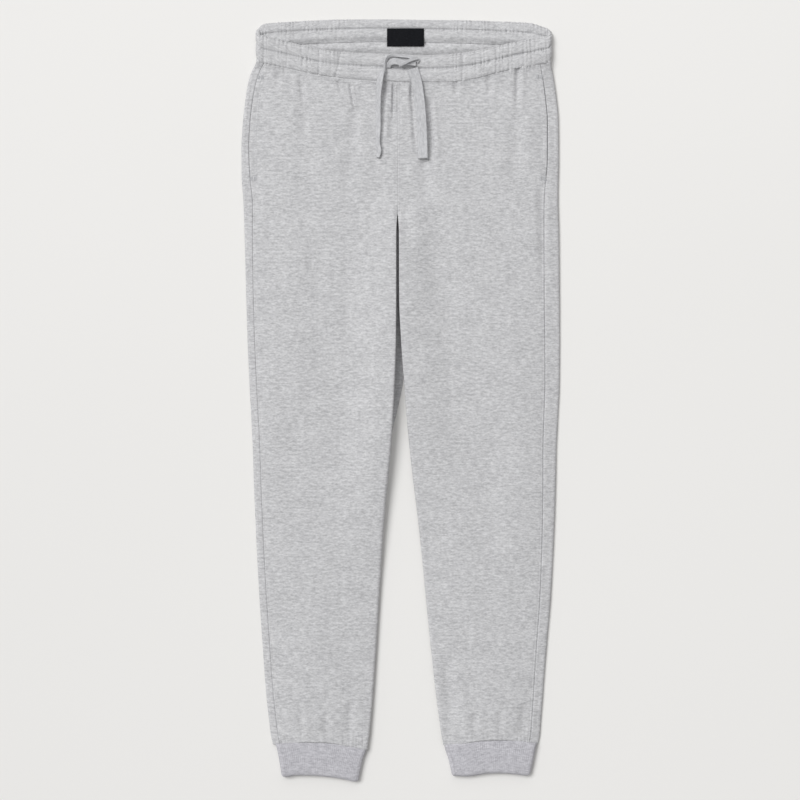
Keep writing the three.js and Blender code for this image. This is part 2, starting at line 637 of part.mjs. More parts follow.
// Label: a bare woven tab sewn over the inside of the back waistband.
function labelTab() {
  const across = 6;
  const along = 4;
  const under = BAND_WALL + GATHER_HEIGHT + LABEL_CLEARANCE;
  const grid = (lift) => {
    const columns = [];
    for (let i = 0; i <= across; i++) {
      const column = [];
      for (let j = 0; j <= along; j++) {
        const x = (mix(LABEL.left, LABEL.right, i / across) - PHOTO_CENTRE) * PIXEL;
        const bow = LABEL_BOW * Math.sin((Math.PI * i) / across);
        column.push([x, yOf(mix(LABEL.top, LABEL.bottom, j / along)), under + bow + lift]);
      }
      columns.push(column);
    }
    return columns;
  };
  return wall(grid(LABEL.thickness), grid(0));
}

// Drawstring: flat tape swept along a route with rounded long edges.
const TAPE_SECTION = [
  { wide: -1.0, thick: 0.4 },
  { wide: -0.9, thick: 1.0 },
  { wide: 0.9, thick: 1.0 },
  { wide: 1.0, thick: 0.4 },
  { wide: 1.0, thick: -0.4 },
  { wide: 0.9, thick: -1.0 },
  { wide: -0.9, thick: -1.0 },
  { wide: -1.0, thick: -0.4 },
];

function tape(route, steps) {
  const rows = route.map((row) => ({
    ...row,
    x: (row.px - PHOTO_CENTRE) * PIXEL,
    y: yOf((row.py - PHOTO_TOP) * PIXEL),
  }));
  const spine = new THREE.CatmullRomCurve3(rows.map((row) => new THREE.Vector3(row.x, row.y, row.z)));
  const up = new THREE.Vector3(0, 0, 1);
  const sections = [];
  for (let i = 0; i <= steps; i++) {
    const t = i / steps;
    const along = t * (rows.length - 1);
    const k = Math.min(rows.length - 2, Math.floor(along));
    const share = along - k;
    const lean = THREE.MathUtils.degToRad(mix(rows[k].lean, rows[k + 1].lean, share));
    const half = mix(rows[k].width, rows[k + 1].width, share) / 2;
    const forward = spine.getTangent(t);
    const across = new THREE.Vector3().crossVectors(forward, up).normalize().applyAxisAngle(forward, lean);
    const normal = new THREE.Vector3().crossVectors(across, forward).normalize();
    sections.push(
      TAPE_SECTION.map((corner) => {
        const point = spine.getPoint(t).clone();
        point.addScaledVector(across, corner.wide * half);
        point.addScaledVector(normal, (corner.thick * TAPE_THICKNESS) / 2);
        return point.toArray();
      }),
    );
  }
  return loft(sections, false);
}

// Assembly
const jersey = new THREE.MeshStandardMaterial(COLOURS.jersey);
const rib = new THREE.MeshStandardMaterial(COLOURS.rib);
const woven = new THREE.MeshStandardMaterial(COLOURS.label);

const sweatpants = new THREE.Group();
function add(name, geometry, material) {
  const mesh = new THREE.Mesh(geometry, material);
  mesh.name = name;
  sweatpants.add(mesh);
}

for (const [side, leg, cuff] of [
  ["right", RIGHT_LEG, RIGHT_CUFF],
  ["left", LEFT_LEG, LEFT_CUFF],
]) {
  add(`front_${side}`, panel(leg, cuff, false), jersey);
  add(`back_${side}`, panel(leg, cuff, true), jersey);
  add(`cuff_${side}`, cuffRing(leg, cuff), rib);
  add(`pocket_bag_${side}`, pocketBag(leg), jersey);
}
add("waistband", waistband(), jersey);
add("label", labelTab(), woven);
add("drawstring_loop", tape(LOOP_ROUTE, 12), jersey);
add("drawstring_cross", tape(CROSS_ROUTE, 8), jersey);
add("drawstring_end_right", tape(RIGHT_END_ROUTE, 22), jersey);
add("drawstring_end_left", tape(LEFT_END_ROUTE, 18), jersey);

export default sweatpants;
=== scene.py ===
# %% [markdown]
# # Jogger sweatpants, laid flat
# A pair of grey melange joggers lies face up on a pale floor. This lesson makes its cut pieces one by one:
# two fronts, two backs, a gathered waistband, two rib cuffs, pocket bags, a label and a tape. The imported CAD
# model is the frame for them all.

# %% The frame
import json
from bisect import bisect_right
from math import atan2, copysign, cos, exp, pi, radians, sin, sqrt

import bmesh
import bpy
from mathutils import Matrix, Vector
from mathutils.bvhtree import BVHTree

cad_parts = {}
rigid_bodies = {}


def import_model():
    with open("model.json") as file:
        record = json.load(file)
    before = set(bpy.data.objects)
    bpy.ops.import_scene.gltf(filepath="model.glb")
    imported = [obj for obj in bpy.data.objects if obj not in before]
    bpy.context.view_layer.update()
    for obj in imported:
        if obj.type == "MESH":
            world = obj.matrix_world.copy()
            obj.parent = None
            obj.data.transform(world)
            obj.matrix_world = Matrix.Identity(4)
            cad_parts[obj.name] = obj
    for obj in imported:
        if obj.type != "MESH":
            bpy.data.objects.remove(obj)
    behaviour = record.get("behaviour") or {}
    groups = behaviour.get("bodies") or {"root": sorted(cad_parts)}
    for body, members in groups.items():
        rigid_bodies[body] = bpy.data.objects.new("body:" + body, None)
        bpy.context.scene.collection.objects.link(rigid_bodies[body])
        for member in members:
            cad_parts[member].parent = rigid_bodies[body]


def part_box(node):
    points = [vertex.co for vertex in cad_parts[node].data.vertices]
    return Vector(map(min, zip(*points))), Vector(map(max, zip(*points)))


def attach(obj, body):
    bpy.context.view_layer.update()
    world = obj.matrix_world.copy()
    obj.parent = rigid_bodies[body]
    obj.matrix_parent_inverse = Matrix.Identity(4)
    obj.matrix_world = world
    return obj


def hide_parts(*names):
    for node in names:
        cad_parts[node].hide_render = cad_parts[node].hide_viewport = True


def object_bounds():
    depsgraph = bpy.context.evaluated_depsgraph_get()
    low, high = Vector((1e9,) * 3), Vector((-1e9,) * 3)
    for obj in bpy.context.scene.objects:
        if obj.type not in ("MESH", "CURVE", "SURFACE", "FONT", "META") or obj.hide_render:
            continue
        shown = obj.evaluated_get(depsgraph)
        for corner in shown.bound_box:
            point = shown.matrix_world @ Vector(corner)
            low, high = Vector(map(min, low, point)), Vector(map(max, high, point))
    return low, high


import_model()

MM = 0.001
scene = bpy.context.scene
cad_box = [list(corner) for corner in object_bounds()]
LENGTH = (cad_box[1][1] - cad_box[0][1]) / MM
print(f"the laid garment is {LENGTH:.0f} mm long")


def add_object(name, data):
    """A new object of the scene, at the origin."""
    made = bpy.data.objects.new(name, data)
    scene.collection.objects.link(made)
    return made


def mesh_of(name, bm):
    """What was built in bm, as a mesh of its own."""
    mesh = bpy.data.meshes.new(name)
    bm.to_mesh(mesh)
    bm.free()
    return mesh


# %% [markdown]
# ## The camera
# The photograph looks straight down, with the waist at its top. One of its 800 pixels is 1.34 mm on the
# cloth. An 85 mm lens keeps the perspective weak, and its distance follows from the width of the picture.

# %% Camera
PIXEL = 1.34  # millimetres on the cloth for one pixel of the photograph
PHOTO_WIDTH = 800
PHOTO_MIDDLE = 400.5  # the column that lies over x = 0
PHOTO_TOP = 19.0  # the row of the top edge of the back waistband
LENS = 85.0
SENSOR = 36.0
CLOTH_LEVEL = 8.0  # height at which the scale holds


def from_photo(column, row):
    """The place on the cloth, in millimetres, under a pixel of the photograph."""
    return (column - PHOTO_MIDDLE) * PIXEL, LENGTH / 2 - (row - PHOTO_TOP) * PIXEL


camera_data = bpy.data.cameras.new("camera")
camera_data.lens = LENS
camera_data.sensor_width = SENSOR
camera = add_object("camera", camera_data)
middle_x, middle_y = from_photo(PHOTO_WIDTH / 2, PHOTO_WIDTH / 2)
distance = PIXEL * PHOTO_WIDTH * LENS / SENSOR
camera.location = (middle_x * MM, middle_y * MM, (distance + CLOTH_LEVEL) * MM)
scene.camera = camera
print(f"the camera stands {distance * MM:.2f} m above the cloth")

# %% [markdown]
# ## Small helpers
# Cloth sizes come from short tables. `read` runs a smooth curve through the rows of a table and never
# overshoots them, so an edge drawn with it stays calm.

# %% Helpers
def mix(a, b, share):
    return a + (b - a) * share


def clamp(value):
    return min(1.0, max(0.0, value))


def smooth(value):
    value = clamp(value)
    return value * value * (3 - 2 * value)


def bell(value):
    return exp(-value * value)


def fall(distance, reach):
    """1 at an edge, running out to 0 at its reach."""
    return clamp(1 - distance / reach) ** 2


def spread(start, end, steps):
    """Even places from start to end."""
    return [mix(start, end, k / steps) for k in range(steps + 1)]


def table(columns, rows):
    """A table of rows as one list for each named column."""
    return {name: [row[k] for row in rows] for k, name in enumerate(columns.split())}


def read(rows, column, at):
    """The value of a column where the table's first column has the value `at`."""
    keys, values = next(iter(rows.values())), rows[column]
    if at <= keys[0]:
        return values[0]
    if at >= keys[-1]:
        return values[-1]
    i = bisect_right(keys, at) - 1

    def slope(k):
        if k < 0 or k >= len(keys) - 1:
            return 0.0
        return (values[k + 1] - values[k]) / (keys[k + 1] - keys[k])

    def tangent(k):
        before, after = slope(k - 1), slope(k)
        return 2 * before * after / (before + after) if before * after > 0 else 0.0

    step = keys[i + 1] - keys[i]
    t = (at - keys[i]) / step
    start = (1 + 2 * t) * (1 - t) ** 2 * values[i]
    end = t * t * (3 - 2 * t) * values[i + 1]
    return start + end + step * t * (1 - t) * ((1 - t) * tangent(i) - t * tangent(i + 1))


# %% [markdown]
# ## The sizes of the garment
# These tables repeat the outline of the CAD model in millimetres, though the cuffs flare a little more at
# their tops. `down` is measured from the top of the back waistband, `outer` and `inner` are the distances of
# a leg's two edges from the centre seam, and `margin` is how far the back panel comes round to the front
# before it meets the side seam.

# %% Sizes
CENTRE_X = -4.0
JERSEY = 3.0  # what the CAD model gives a layer of jersey
CLOTH = 2.0  # the layer as it is dressed here
BODY = 9.6  # heights of the laid legs, band and cuffs
BAND = 11.8
CUFF = 9.8
BAND_WALL = 4.4
CUFF_WALL = 3.6
SEWN_UNDER = 1.6  # how far a panel runs in under the band or the cuff that it is sewn to
FOLD_RADIUS = 5.0
CROTCH_DOWN = 262.0
CROTCH_LENGTH = 26.0  # over this length the two panels' centre seam becomes two inseams
MOUTH_TOP = 78.0
MOUTH_BOTTOM = 214.0
MOUTH_OPEN = 0.4
MIDDLE_STITCH = 0.49  # share of the band's height at which its front is sewn through
BAND_LEFT = -193.0
BAND_RIGHT = 202.5

LEG_COLUMNS = "down outer inner margin"
RIGHT_LEG = {"sign": -1, "rows": table(LEG_COLUMNS, [
    (24, 188, 0, 11.5), (57, 189.6, 0, 11.5), (68, 195, 0, 11.3), (82, 200, 0, 11),
    (109, 204.4, 0, 10), (135, 207.5, 0, 10), (175, 209.6, 0, 10.2), (212, 209.2, 0, 11.5),
    (243, 207, 0, 12.5), (262, 206.2, 0, 12), (284, 205.5, 1.5, 11), (377, 203, 1.6, 9.8),
    (430, 201.4, 2, 9.8), (484, 199, 3.6, 9.8), (537, 196.2, 6.2, 9.8), (578, 194.2, 8.9, 9.8),
    (618, 193, 12.7, 9.8), (671, 190.8, 17.6, 9.8), (725, 188.3, 21.2, 9.8), (779, 185.2, 24.6, 9.8),
    (832, 181.6, 27.7, 9.8), (886, 177.9, 31.4, 9.8), (913, 175.6, 33.4, 9.8), (939, 172.6, 35.6, 9.8),
    (958, 170.4, 37.4, 9.8), (980, 166.5, 40, 9.8),
])}
LEFT_LEG = {"sign": 1, "rows": table(LEG_COLUMNS, [
    (24, 205, 0, 14.5), (59, 206, 0, 14.5), (68, 207.3, 0, 14.6), (82, 210, 0, 14.8),
    (109, 213.7, 0, 15), (135, 216, 0, 15.2), (189, 216.4, 0, 15.6), (216, 215.8, 0, 17),
    (243, 215.4, 0, 18.6), (262, 216, 0, 19.4), (284, 216.5, 1.8, 20), (377, 217.4, 2.2, 20.4),
    (430, 217.7, 4.6, 20), (484, 217.4, 8.4, 19.4), (537, 215, 12.4, 18.6), (578, 213, 16.4, 17.8),
    (618, 212.2, 20.8, 17), (671, 210.6, 27.4, 16), (725, 208.2, 33.2, 15), (779, 205.2, 38.2, 14.2),
    (832, 200.6, 43.5, 13.4), (886, 196.3, 49.3, 12.6), (913, 194.4, 52.4, 12.2), (939, 192.3, 56, 12),
    (958, 191, 58.6, 12), (980, 188, 62, 12),
])}
BAND_EDGES = table("x frontTop frontSeam backTop backSeam", [
    (-193, 21, 57.4, 9, 38.5), (-179, 24.6, 60.4, 5.6, 37), (-147, 32.4, 67, 3.4, 34),
    (-117, 39.4, 73.8, 1.6, 32), (-86, 44.6, 78.5, 0.4, 30.8), (-34, 46.9, 82.8, 0, 29.4),
    (28, 49.4, 85, 0.6, 30.2), (64, 48.2, 84.8, 1, 31), (102, 43.2, 79.6, 1.8, 32),
    (128, 37.4, 72.6, 2.8, 33), (173, 28, 63.4, 5, 36.5), (202, 23, 59, 12, 40),
])
RIGHT_CUFF = {
    "sides": table("down inner outer", [
        (966, 39.6, 166), (978, 41.6, 161.4), (994, 47.6, 158), (1022, 51.9, 155),
    ]),
    "edges": table("share seam hem", [
        (0, 978.5, 1022), (0.15, 974.5, 1019.2), (0.45, 968.2, 1015.2), (0.65, 967.6, 1014),
        (0.85, 970.4, 1013.8), (1, 971.2, 1016),
    ]),
}
LEFT_CUFF = {
    "sides": table("down inner outer", [
        (962, 60.6, 189.2), (978, 64.2, 184.6), (994, 69.4, 181.4), (1017, 73, 177.8),
    ]),
    "edges": table("share seam hem", [
        (0, 972, 1014.6), (0.15, 970.6, 1015), (0.45, 965.2, 1011.4), (0.62, 964.6, 1010.8),
        (0.85, 968.2, 1012.4), (1, 970.2, 1014),
    ]),
}
CUFF_SEAM_DOWN = 968.0
SIDES = (("right", RIGHT_LEG, RIGHT_CUFF), ("left", LEFT_LEG, LEFT_CUFF))


def section_of(leg, down):
    """Outer edge, inner edge, margin and how far the leg is closed at a place down its length."""
    closed = smooth((down - CROTCH_DOWN) / CROTCH_LENGTH)
    return *(read(leg["rows"], column, down) for column in ("outer", "inner", "margin")), closed


def on_leg(leg, out, down):
    """x and y of a place on a leg, so far out from the centre seam and so far down."""
    return CENTRE_X + leg["sign"] * out, LENGTH / 2 - down


def side_gap(down):
    """Half of the opening of the pocket mouth. Elsewhere the side seam is sewn shut."""
    along = clamp((down - MOUTH_TOP) / (MOUTH_BOTTOM - MOUTH_TOP))
    return MOUTH_OPEN * sqrt(max(0.0, sin(pi * along))) * 0.5


def band_edge(column, x):
    straight = min(BAND_RIGHT - BAND / 2, max(BAND_LEFT + BAND / 2, x))
    return read(BAND_EDGES, column, straight)


def cuff_seam(leg, cuff, out):
    outer, inner, _, _ = section_of(leg, CUFF_SEAM_DOWN)
    return read(cuff["edges"], "seam", (out - inner) / (outer - inner))


print(f"hips {RIGHT_LEG['rows']['outer'][6] + LEFT_LEG['rows']['outer'][6]:.0f} mm across")

# %% [markdown]
# ## Node helpers
# These helpers add a node, set its sockets and join it on, so each recipe below reads as what it mixes.

# %% Node helpers
def new_material(name, roughness, sheen=0.0):
    material = bpy.data.materials.new(name)
    material.use_nodes = True
    shader = material.node_tree.nodes["Principled BSDF"]
    shader.inputs["Roughness"].default_value = roughness
    shader.inputs["Specular IOR Level"].default_value = 0.15
    shader.inputs["Sheen Weight"].default_value = sheen
    shader.inputs["Sheen Roughness"].default_value = 0.6
    return material, material.node_tree, shader


def uv_scaled(tree, across, along):
    """The piece's own cloth map, which is in metres, as so many units to the metre each way."""
    place = tree.nodes.new("ShaderNodeUVMap")
    place.uv_map = "cloth"
    scaled = tree.nodes.new("ShaderNodeMapping")
    scaled.inputs["Scale"].default_value = (across, along, 1.0)
    tree.links.new(place.outputs["UV"], scaled.inputs["Vector"])
    return scaled.outputs["Vector"]


def noise(tree, vector, detail=2.0):
    texture = tree.nodes.new("ShaderNodeTexNoise")
    texture.inputs["Scale"].default_value = 1.0
    texture.inputs["Detail"].default_value = detail
    tree.links.new(vector, texture.inputs["Vector"])
    return texture.outputs["Fac"]


def maths(tree, operation, *values):
    node = tree.nodes.new("ShaderNodeMath")
    node.operation = operation
    for socket, value in zip(node.inputs, values):
        if isinstance(value, (int, float)):
            socket.default_value = value
        else:
            tree.links.new(value, socket)
    return node.outputs["Value"]


def weighted(tree, parts):
    """The sum of several values, each with its own weight."""
    total = None
    for value, weight in parts:
        part = maths(tree, "MULTIPLY", value, weight)
        total = part if total is None else maths(tree, "ADD", total, part)
    return total


def paint(tree, shader, tone, low, dark, high, light):
    """Colours a surface from dark, where the tone is low, to light, where it is high."""
    node = tree.nodes.new("ShaderNodeValToRGB")
    for element, position, colour in zip(node.color_ramp.elements, (low, high), (dark, light)):
        element.position = position
        element.color = (*colour, 1.0)
    tree.links.new(tone, node.inputs["Fac"])
    tree.links.new(node.outputs["Color"], shader.inputs["Base Color"])


def add_bump(tree, shader, height, strength, depth):
    bump = tree.nodes.new("ShaderNodeBump")
    bump.inputs["Strength"].default_value = strength
    bump.inputs["Distance"].default_value = depth
    tree.links.new(height, bump.inputs["Height"])
    tree.links.new(bump.outputs["Normal"], shader.inputs["Normal"])


# %% [markdown]
# ## Melange jersey
# Melange yarn is spun from dark and light fibres, so its cloth shows short level streaks. Even noise would
# look like felt, so noise stretched along the course gives the streaks, a finer one single stitches, and a
# slow one the cloudiness.

# %% Melange jersey
def knit_height(tree, wale, course):
    """Columns and rows of knit loops, as a height."""
    place = tree.nodes.new("ShaderNodeSeparateXYZ")
    tree.links.new(uv_scaled(tree, 2 * pi / wale, 2 * pi / course), place.inputs["Vector"])
    columns = maths(tree, "SINE", place.outputs["X"])
    rows = maths(tree, "SINE", place.outputs["Y"])
    return weighted(tree, [(columns, 0.6), (rows, 0.4)])


def melange(name, dark, light, wale=0.0013, course=0.001, contrast=0.112):
    material, tree, shader = new_material(name, roughness=0.92, sheen=0.12)
    streaks = noise(tree, uv_scaled(tree, 125, 350), detail=3.0)
    short = noise(tree, uv_scaled(tree, 330, 620))
    cloudy = noise(tree, uv_scaled(tree, 30, 50))
    fibres = noise(tree, uv_scaled(tree, 1500, 1900), detail=1.0)
    tone = weighted(tree, [(streaks, 0.42), (short, 0.30), (cloudy, 0.12), (fibres, 0.16)])
    paint(tree, shader, tone, 0.5 - contrast, dark, 0.5 + contrast, light)
    height = weighted(tree, [(knit_height(tree, wale, course), 0.5), (short, 0.8)])
    add_bump(tree, shader, height, strength=0.35, depth=0.0004)
    return material


jersey = melange("melange_jersey", dark=(0.418, 0.418, 0.428), light=(0.690, 0.690, 0.701))
print("melange jersey is ready")

# %% [markdown]
# ## Rib, tape, thread and label
# The rib is a little darker than the jersey, with wider columns of loops, and the tape is a tight plain
# knit. Thread is smooth and slightly glossy. The label is bare black woven satin.

# %% Rib, tape, thread and label
rib = melange("melange_rib", dark=(0.375, 0.370, 0.398), light=(0.646, 0.639, 0.675),
              wale=0.0026, course=0.0011, contrast=0.13)
tape_knit = melange("tape_knit", dark=(0.42, 0.422, 0.436), light=(0.61, 0.612, 0.626),
                    wale=0.0016, course=0.0013, contrast=0.12)

thread, tree, shader = new_material("sewing_thread", roughness=0.6)
tone = noise(tree, uv_scaled(tree, 900, 900), detail=1.0)
paint(tree, shader, tone, 0.3, (0.5, 0.505, 0.52), 0.7, (0.6, 0.605, 0.62))

woven, tree, shader = new_material("black_woven_label", roughness=0.7)
shader.inputs["Specular IOR Level"].default_value = 0.08
loops = knit_height(tree, 0.0007, 0.0006)
mottle = noise(tree, uv_scaled(tree, 300, 900))
tone = weighted(tree, [(loops, 0.2), (mottle, 1.0)])
paint(tree, shader, tone, 0.3, (0.004, 0.0045, 0.006), 0.7, (0.011, 0.0115, 0.0145))
add_bump(tree, shader, loops, strength=0.3, depth=0.0001)
print("rib, tape, thread and label are ready")

# %% [markdown]
# ## From a flat grid to a sewn piece
# Every piece starts as a flat grid, whose points are then laid where the garment holds them. Where it closes
# on itself its edges are welded, and a single layer gets its thickness from a Solidify modifier. The cloth
# map keeps real metres, so the knit has one scale everywhere, and the same measure gives the flat size.

# %% Cloth from a grid
def running(points):
    """How far each point lies along a line of points."""
    total = [0.0]
    for before, after in zip(points, points[1:]):
        total.append(total[-1] + (after - before).length)
    return total


KNIT_SHIFT = 0.731  # metres from one piece's place in the knit to the next


def sew(name, columns, rows, place, ring=False, tube=False, level=False, upward=None, thickness=0.0):
    """A cloth object from a grid of columns and rows. place(u, v) lays a point, in millimetres."""
    laid = [[Vector(place(i / columns, j / rows)) * MM for j in range(rows + 1)] for i in range(columns + 1)]
    along = [running(column) for column in laid]
    across = [running([laid[i][j] for i in range(columns + 1)]) for j in range(rows + 1)]
    bm = bmesh.new()
    bmesh.ops.create_grid(bm, x_segments=columns, y_segments=rows, size=0.5)
    shift = KNIT_SHIFT * len(bpy.data.objects)  # every piece is cut from another part of the cloth
    spots = {v: (round((v.co.x + 0.5) * columns), round((v.co.y + 0.5) * rows)) for v in bm.verts}
    cloth_map = bm.loops.layers.uv.new("cloth")
    half = columns // 2
    for face in bm.faces:
        for corner in face.loops:
            i, j = spots[corner.vert]
            v = laid[i][j].y if level else along[i][j]
            corner[cloth_map].uv = (across[j][i] - across[j][half] + shift, v + shift)
    for vert, (i, j) in spots.items():
        vert.co = laid[i][j]
    area = sum(face.calc_area() for face in bm.faces)
    if ring or tube:
        bmesh.ops.remove_doubles(bm, verts=bm.verts, dist=1e-6)
    if tube and not ring:
        bmesh.ops.holes_fill(bm, edges=[edge for edge in bm.edges if edge.is_boundary], sides=0)
    if tube:
        bmesh.ops.recalc_face_normals(bm, faces=bm.faces)
    else:
        bm.normal_update()
        facing = sum(face.normal.z * face.calc_area() for face in bm.faces)
        if upward is not None and (facing > 0) != upward:
            bmesh.ops.reverse_faces(bm, faces=bm.faces)
    mesh = mesh_of(name, bm)
    mesh.polygons.foreach_set("use_smooth", [True] * len(mesh.polygons))
    piece = add_object(name, mesh)
    if thickness:
        wall = piece.modifiers.new("wall", "SOLIDIFY")
        wall.thickness = thickness * MM
        wall.offset = -1.0
    layers = 2 if tube else 1
    width = max(line[-1] for line in across)
    length = max(line[-1] for line in along) / layers
    print(f"{name}: cut {width / MM:.0f} x {length / MM:.0f} mm")
    return piece, (width, length, area / layers)


def hand_over(piece, material, slot, *nodes):
    """Dresses a piece, lets it ride on the garment and stand for its CAD nodes."""
    piece.data.materials.append(material)
    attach(piece, "root")
    if nodes:
        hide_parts(*nodes)


def hand_over_sheet(piece, material, slot, node):
    hand_over(piece, material, slot, node)


# %% [markdown]
# ## The drawstring tape
# A flat knitted tape comes out of the band at the centre front and is tied in a half knot, whose two ends
# hang free. One end stands on its edge, with a small curl at the tip, and the other leans on the cloth.
# Each strand is a flat section that is carried along a smooth line and turned about it by `lean`. The free
# ends are cords, so their routes are the ones of the CAD model.

# %% Tape routes
TAPE_THICKNESS = 2.0
LOOP = (  # column, row, height, lean in degrees and width
    (388.6, 68.4, 14.2, 6, 5), (389.8, 64.8, 17, 5, 7), (393.8, 62.8, 19.4, 0, 9),
    (398.6, 63.2, 19.4, 0, 8.6), (404, 64.4, 18.4, 0, 6), (410, 64.6, 17.6, 0, 5.5),
    (415.8, 65, 16.4, 0, 6),
)
CROSS = (
    (399, 67, 19.6, 24, 3.6), (404.4, 65, 21.8, 16, 3.8), (410.4, 61.9, 21.8, 8, 3.8),
    (417.4, 59.4, 18.6, 0, 4.6),
)
UNDER = (
    (385.2, 73.4, 17.6, 50, 4), (384.9, 68, 17.8, 50, 4), (385.4, 62.6, 17.8, 50, 4),
    (387.8, 58.2, 17.6, 40, 4), (392.2, 56.4, 17.2, 20, 4), (399, 56.8, 17, 0, 4.6),
    (407, 57.6, 17, 0, 4.6), (414, 59.8, 16.4, 0, 5), (419, 62.6, 15.4, 0, 5),
)
RIGHT_END = (
    (382.4, 72.2, 19.4, 40, 8), (381, 77, 19, 38, 9.6), (379.6, 85, 18.2, 36, 10),
    (378.5, 96, 15.4, 42, 9.4), (378.5, 111, 14.2, 40, 8), (378.5, 127, 12.9, 24, 7),
    (378, 142, 13.2, 36, 6.5), (379.2, 151, 13.2, 32, 7), (378, 158, 13, 38, 5),
)
LEFT_END = (
    (412.8, 69.6, 15.5, -4, 14), (415.4, 78, 15.4, 0, 14), (417.6, 87, 14.8, 9, 14),
    (419.4, 100, 14, 16, 14), (421, 116, 13.6, 20, 14), (422, 132, 13.6, 20, 14),
    (422.6, 146, 13.6, 20, 14), (422.9, 159, 13.8, 20, 14),
)
FLAT_ROUND = 0.45  # powers below one square off the tape's round section
EDGE_ROUND = 0.55
BOW_LEVEL = 0.4
PATH_STEPS = 48


def route_line(route):
    """The middle line of a route as points, in millimetres, with the lean and width at each."""
    knots = [Vector((*from_photo(column, row), z)) for column, row, z, _, _ in route]
    last = len(knots) - 1
    line = []
    for step in range(PATH_STEPS + 1):
        place = step / PATH_STEPS * last
        k = min(last - 1, int(place))
        t = place - k
        before = knots[max(0, k - 1)]
        after = knots[min(last, k + 2)]
        a, b = knots[k], knots[k + 1]
        point = 2 * a + (b - before) * t + (2 * before - 5 * a + 4 * b - after) * t * t
        point = (point + (3 * a - before - 3 * b + after) * t ** 3) / 2
        lean, width = (mix(a, b, t) for a, b in zip(route[k][3:], route[k + 1][3:]))
        line.append((point, radians(lean), width))
    return line


def sew_tape(name, route, soft=0.0):
    """A flat tape along a route. soft bows its section, as a tape that was tied never lies quite flat."""
    line = route_line(route)

    def place(v, u):
        step = min(PATH_STEPS - 1, max(1, round(v * PATH_STEPS)))
        point, lean, width = line[round(v * PATH_STEPS)]
        forward = (line[step + 1][0] - line[step - 1][0]).normalized()
        across = forward.cross(Vector((0, 0, 1))).normalized()
        across = Matrix.Rotation(lean, 3, forward) @ across
        normal = across.cross(forward).normalized()
        angle = 2 * pi * u
        wide = copysign(abs(cos(angle)) ** FLAT_ROUND, cos(angle))
        thick = copysign(abs(sin(angle)) ** EDGE_ROUND, sin(angle))
        bow = soft * (wide * wide - BOW_LEVEL)
        side = across * (wide * width / 2)
        return point + side + normal * (thick * TAPE_THICKNESS / 2 + bow)

    piece, _ = sew(name, columns=PATH_STEPS, rows=20, place=place, tube=True)
    path = [tuple(point * MM) for point, _, _ in line]
    length = running([Vector(p) for p in path])[-1]
    return piece, path, length


# %% Tape ends as cords
for name, route, soft in (("right", RIGHT_END, 0.2), ("left", LEFT_END, 0.6)):
    end, path, length = sew_tape(f"tape_end_{name}", route, soft)
    hand_over(end, tape_knit, "jersey", f"drawstring_end_{name}")
    print(f"tape end {name}: {length / MM:.0f} mm free")

# %% Half knot
for name, route, nodes in (("loop", LOOP, ["drawstring_loop"]), ("cross", CROSS, ["drawstring_cross"]),
                           ("under", UNDER, [])):
    strand, _, length = sew_tape(f"tape_{name}", route, soft=0.3)
    hand_over(strand, tape_knit, "jersey", *nodes)
    print(f"half knot {name}: {length / MM:.0f} mm of tape")

# %% [markdown]
# ## Gathers, creases and the rise of the cloth
# Elastic pulls the band shorter than its cloth, which stands in uneven gathers that run out into the panels.
# The few long creases are listed one by one, because a cloth simulation would put them elsewhere. The rest of
# the relief is the low crown of an empty leg and its slow waves.

# %% Relief
GATHER_PITCH = 5.4
GATHER_WAVES = ((1.7, 19, 0), (1.2, 7.3, 1), (0.8, 3.1, 2))  # size, length and start of each
FORCE_WAVES = ((0.4, 13, 2), (0.3, 5.3, 0), (0.25, 2.9, 0))
FAINT = 0.3  # the strength of the gathers near the knot
FAINT_HALF = 30.0
FAINT_FADE = 90.0
GATHER_HEIGHT = 2.6
PUCKER_HEIGHT = 1.0
GATHER_RUN = 7.0  # how far a gather runs out into the panel below the band
CALM_RUN = 10.0
CUFF_PUCKER = 0.45
CUFF_PUCKER_RUN = 12.0
CROWN = 1.1
CROWN_POWER = 4
CROWN_PARTS = 230.0  # from here down each leg has a crown of its own
CROWN_PART_RUN = 120.0
FOLD_FALL = 4.8  # an empty leg thins out towards its outer fold
FOLD_FALL_RUN = 60.0
FOLD_FALL_POWER = 1.6
WAVE = 0.5
SEAM_RISE = 2.1  # the gathered edge of a panel stands almost as high as the band
RIDGE = 0.35  # the share of its depth by which the cloth stands up beside a crease
RIDGE_AWAY = 1.9
CREASE_START = 0.12  # shares of its length over which a crease sets in and runs out
CREASE_END = 0.45
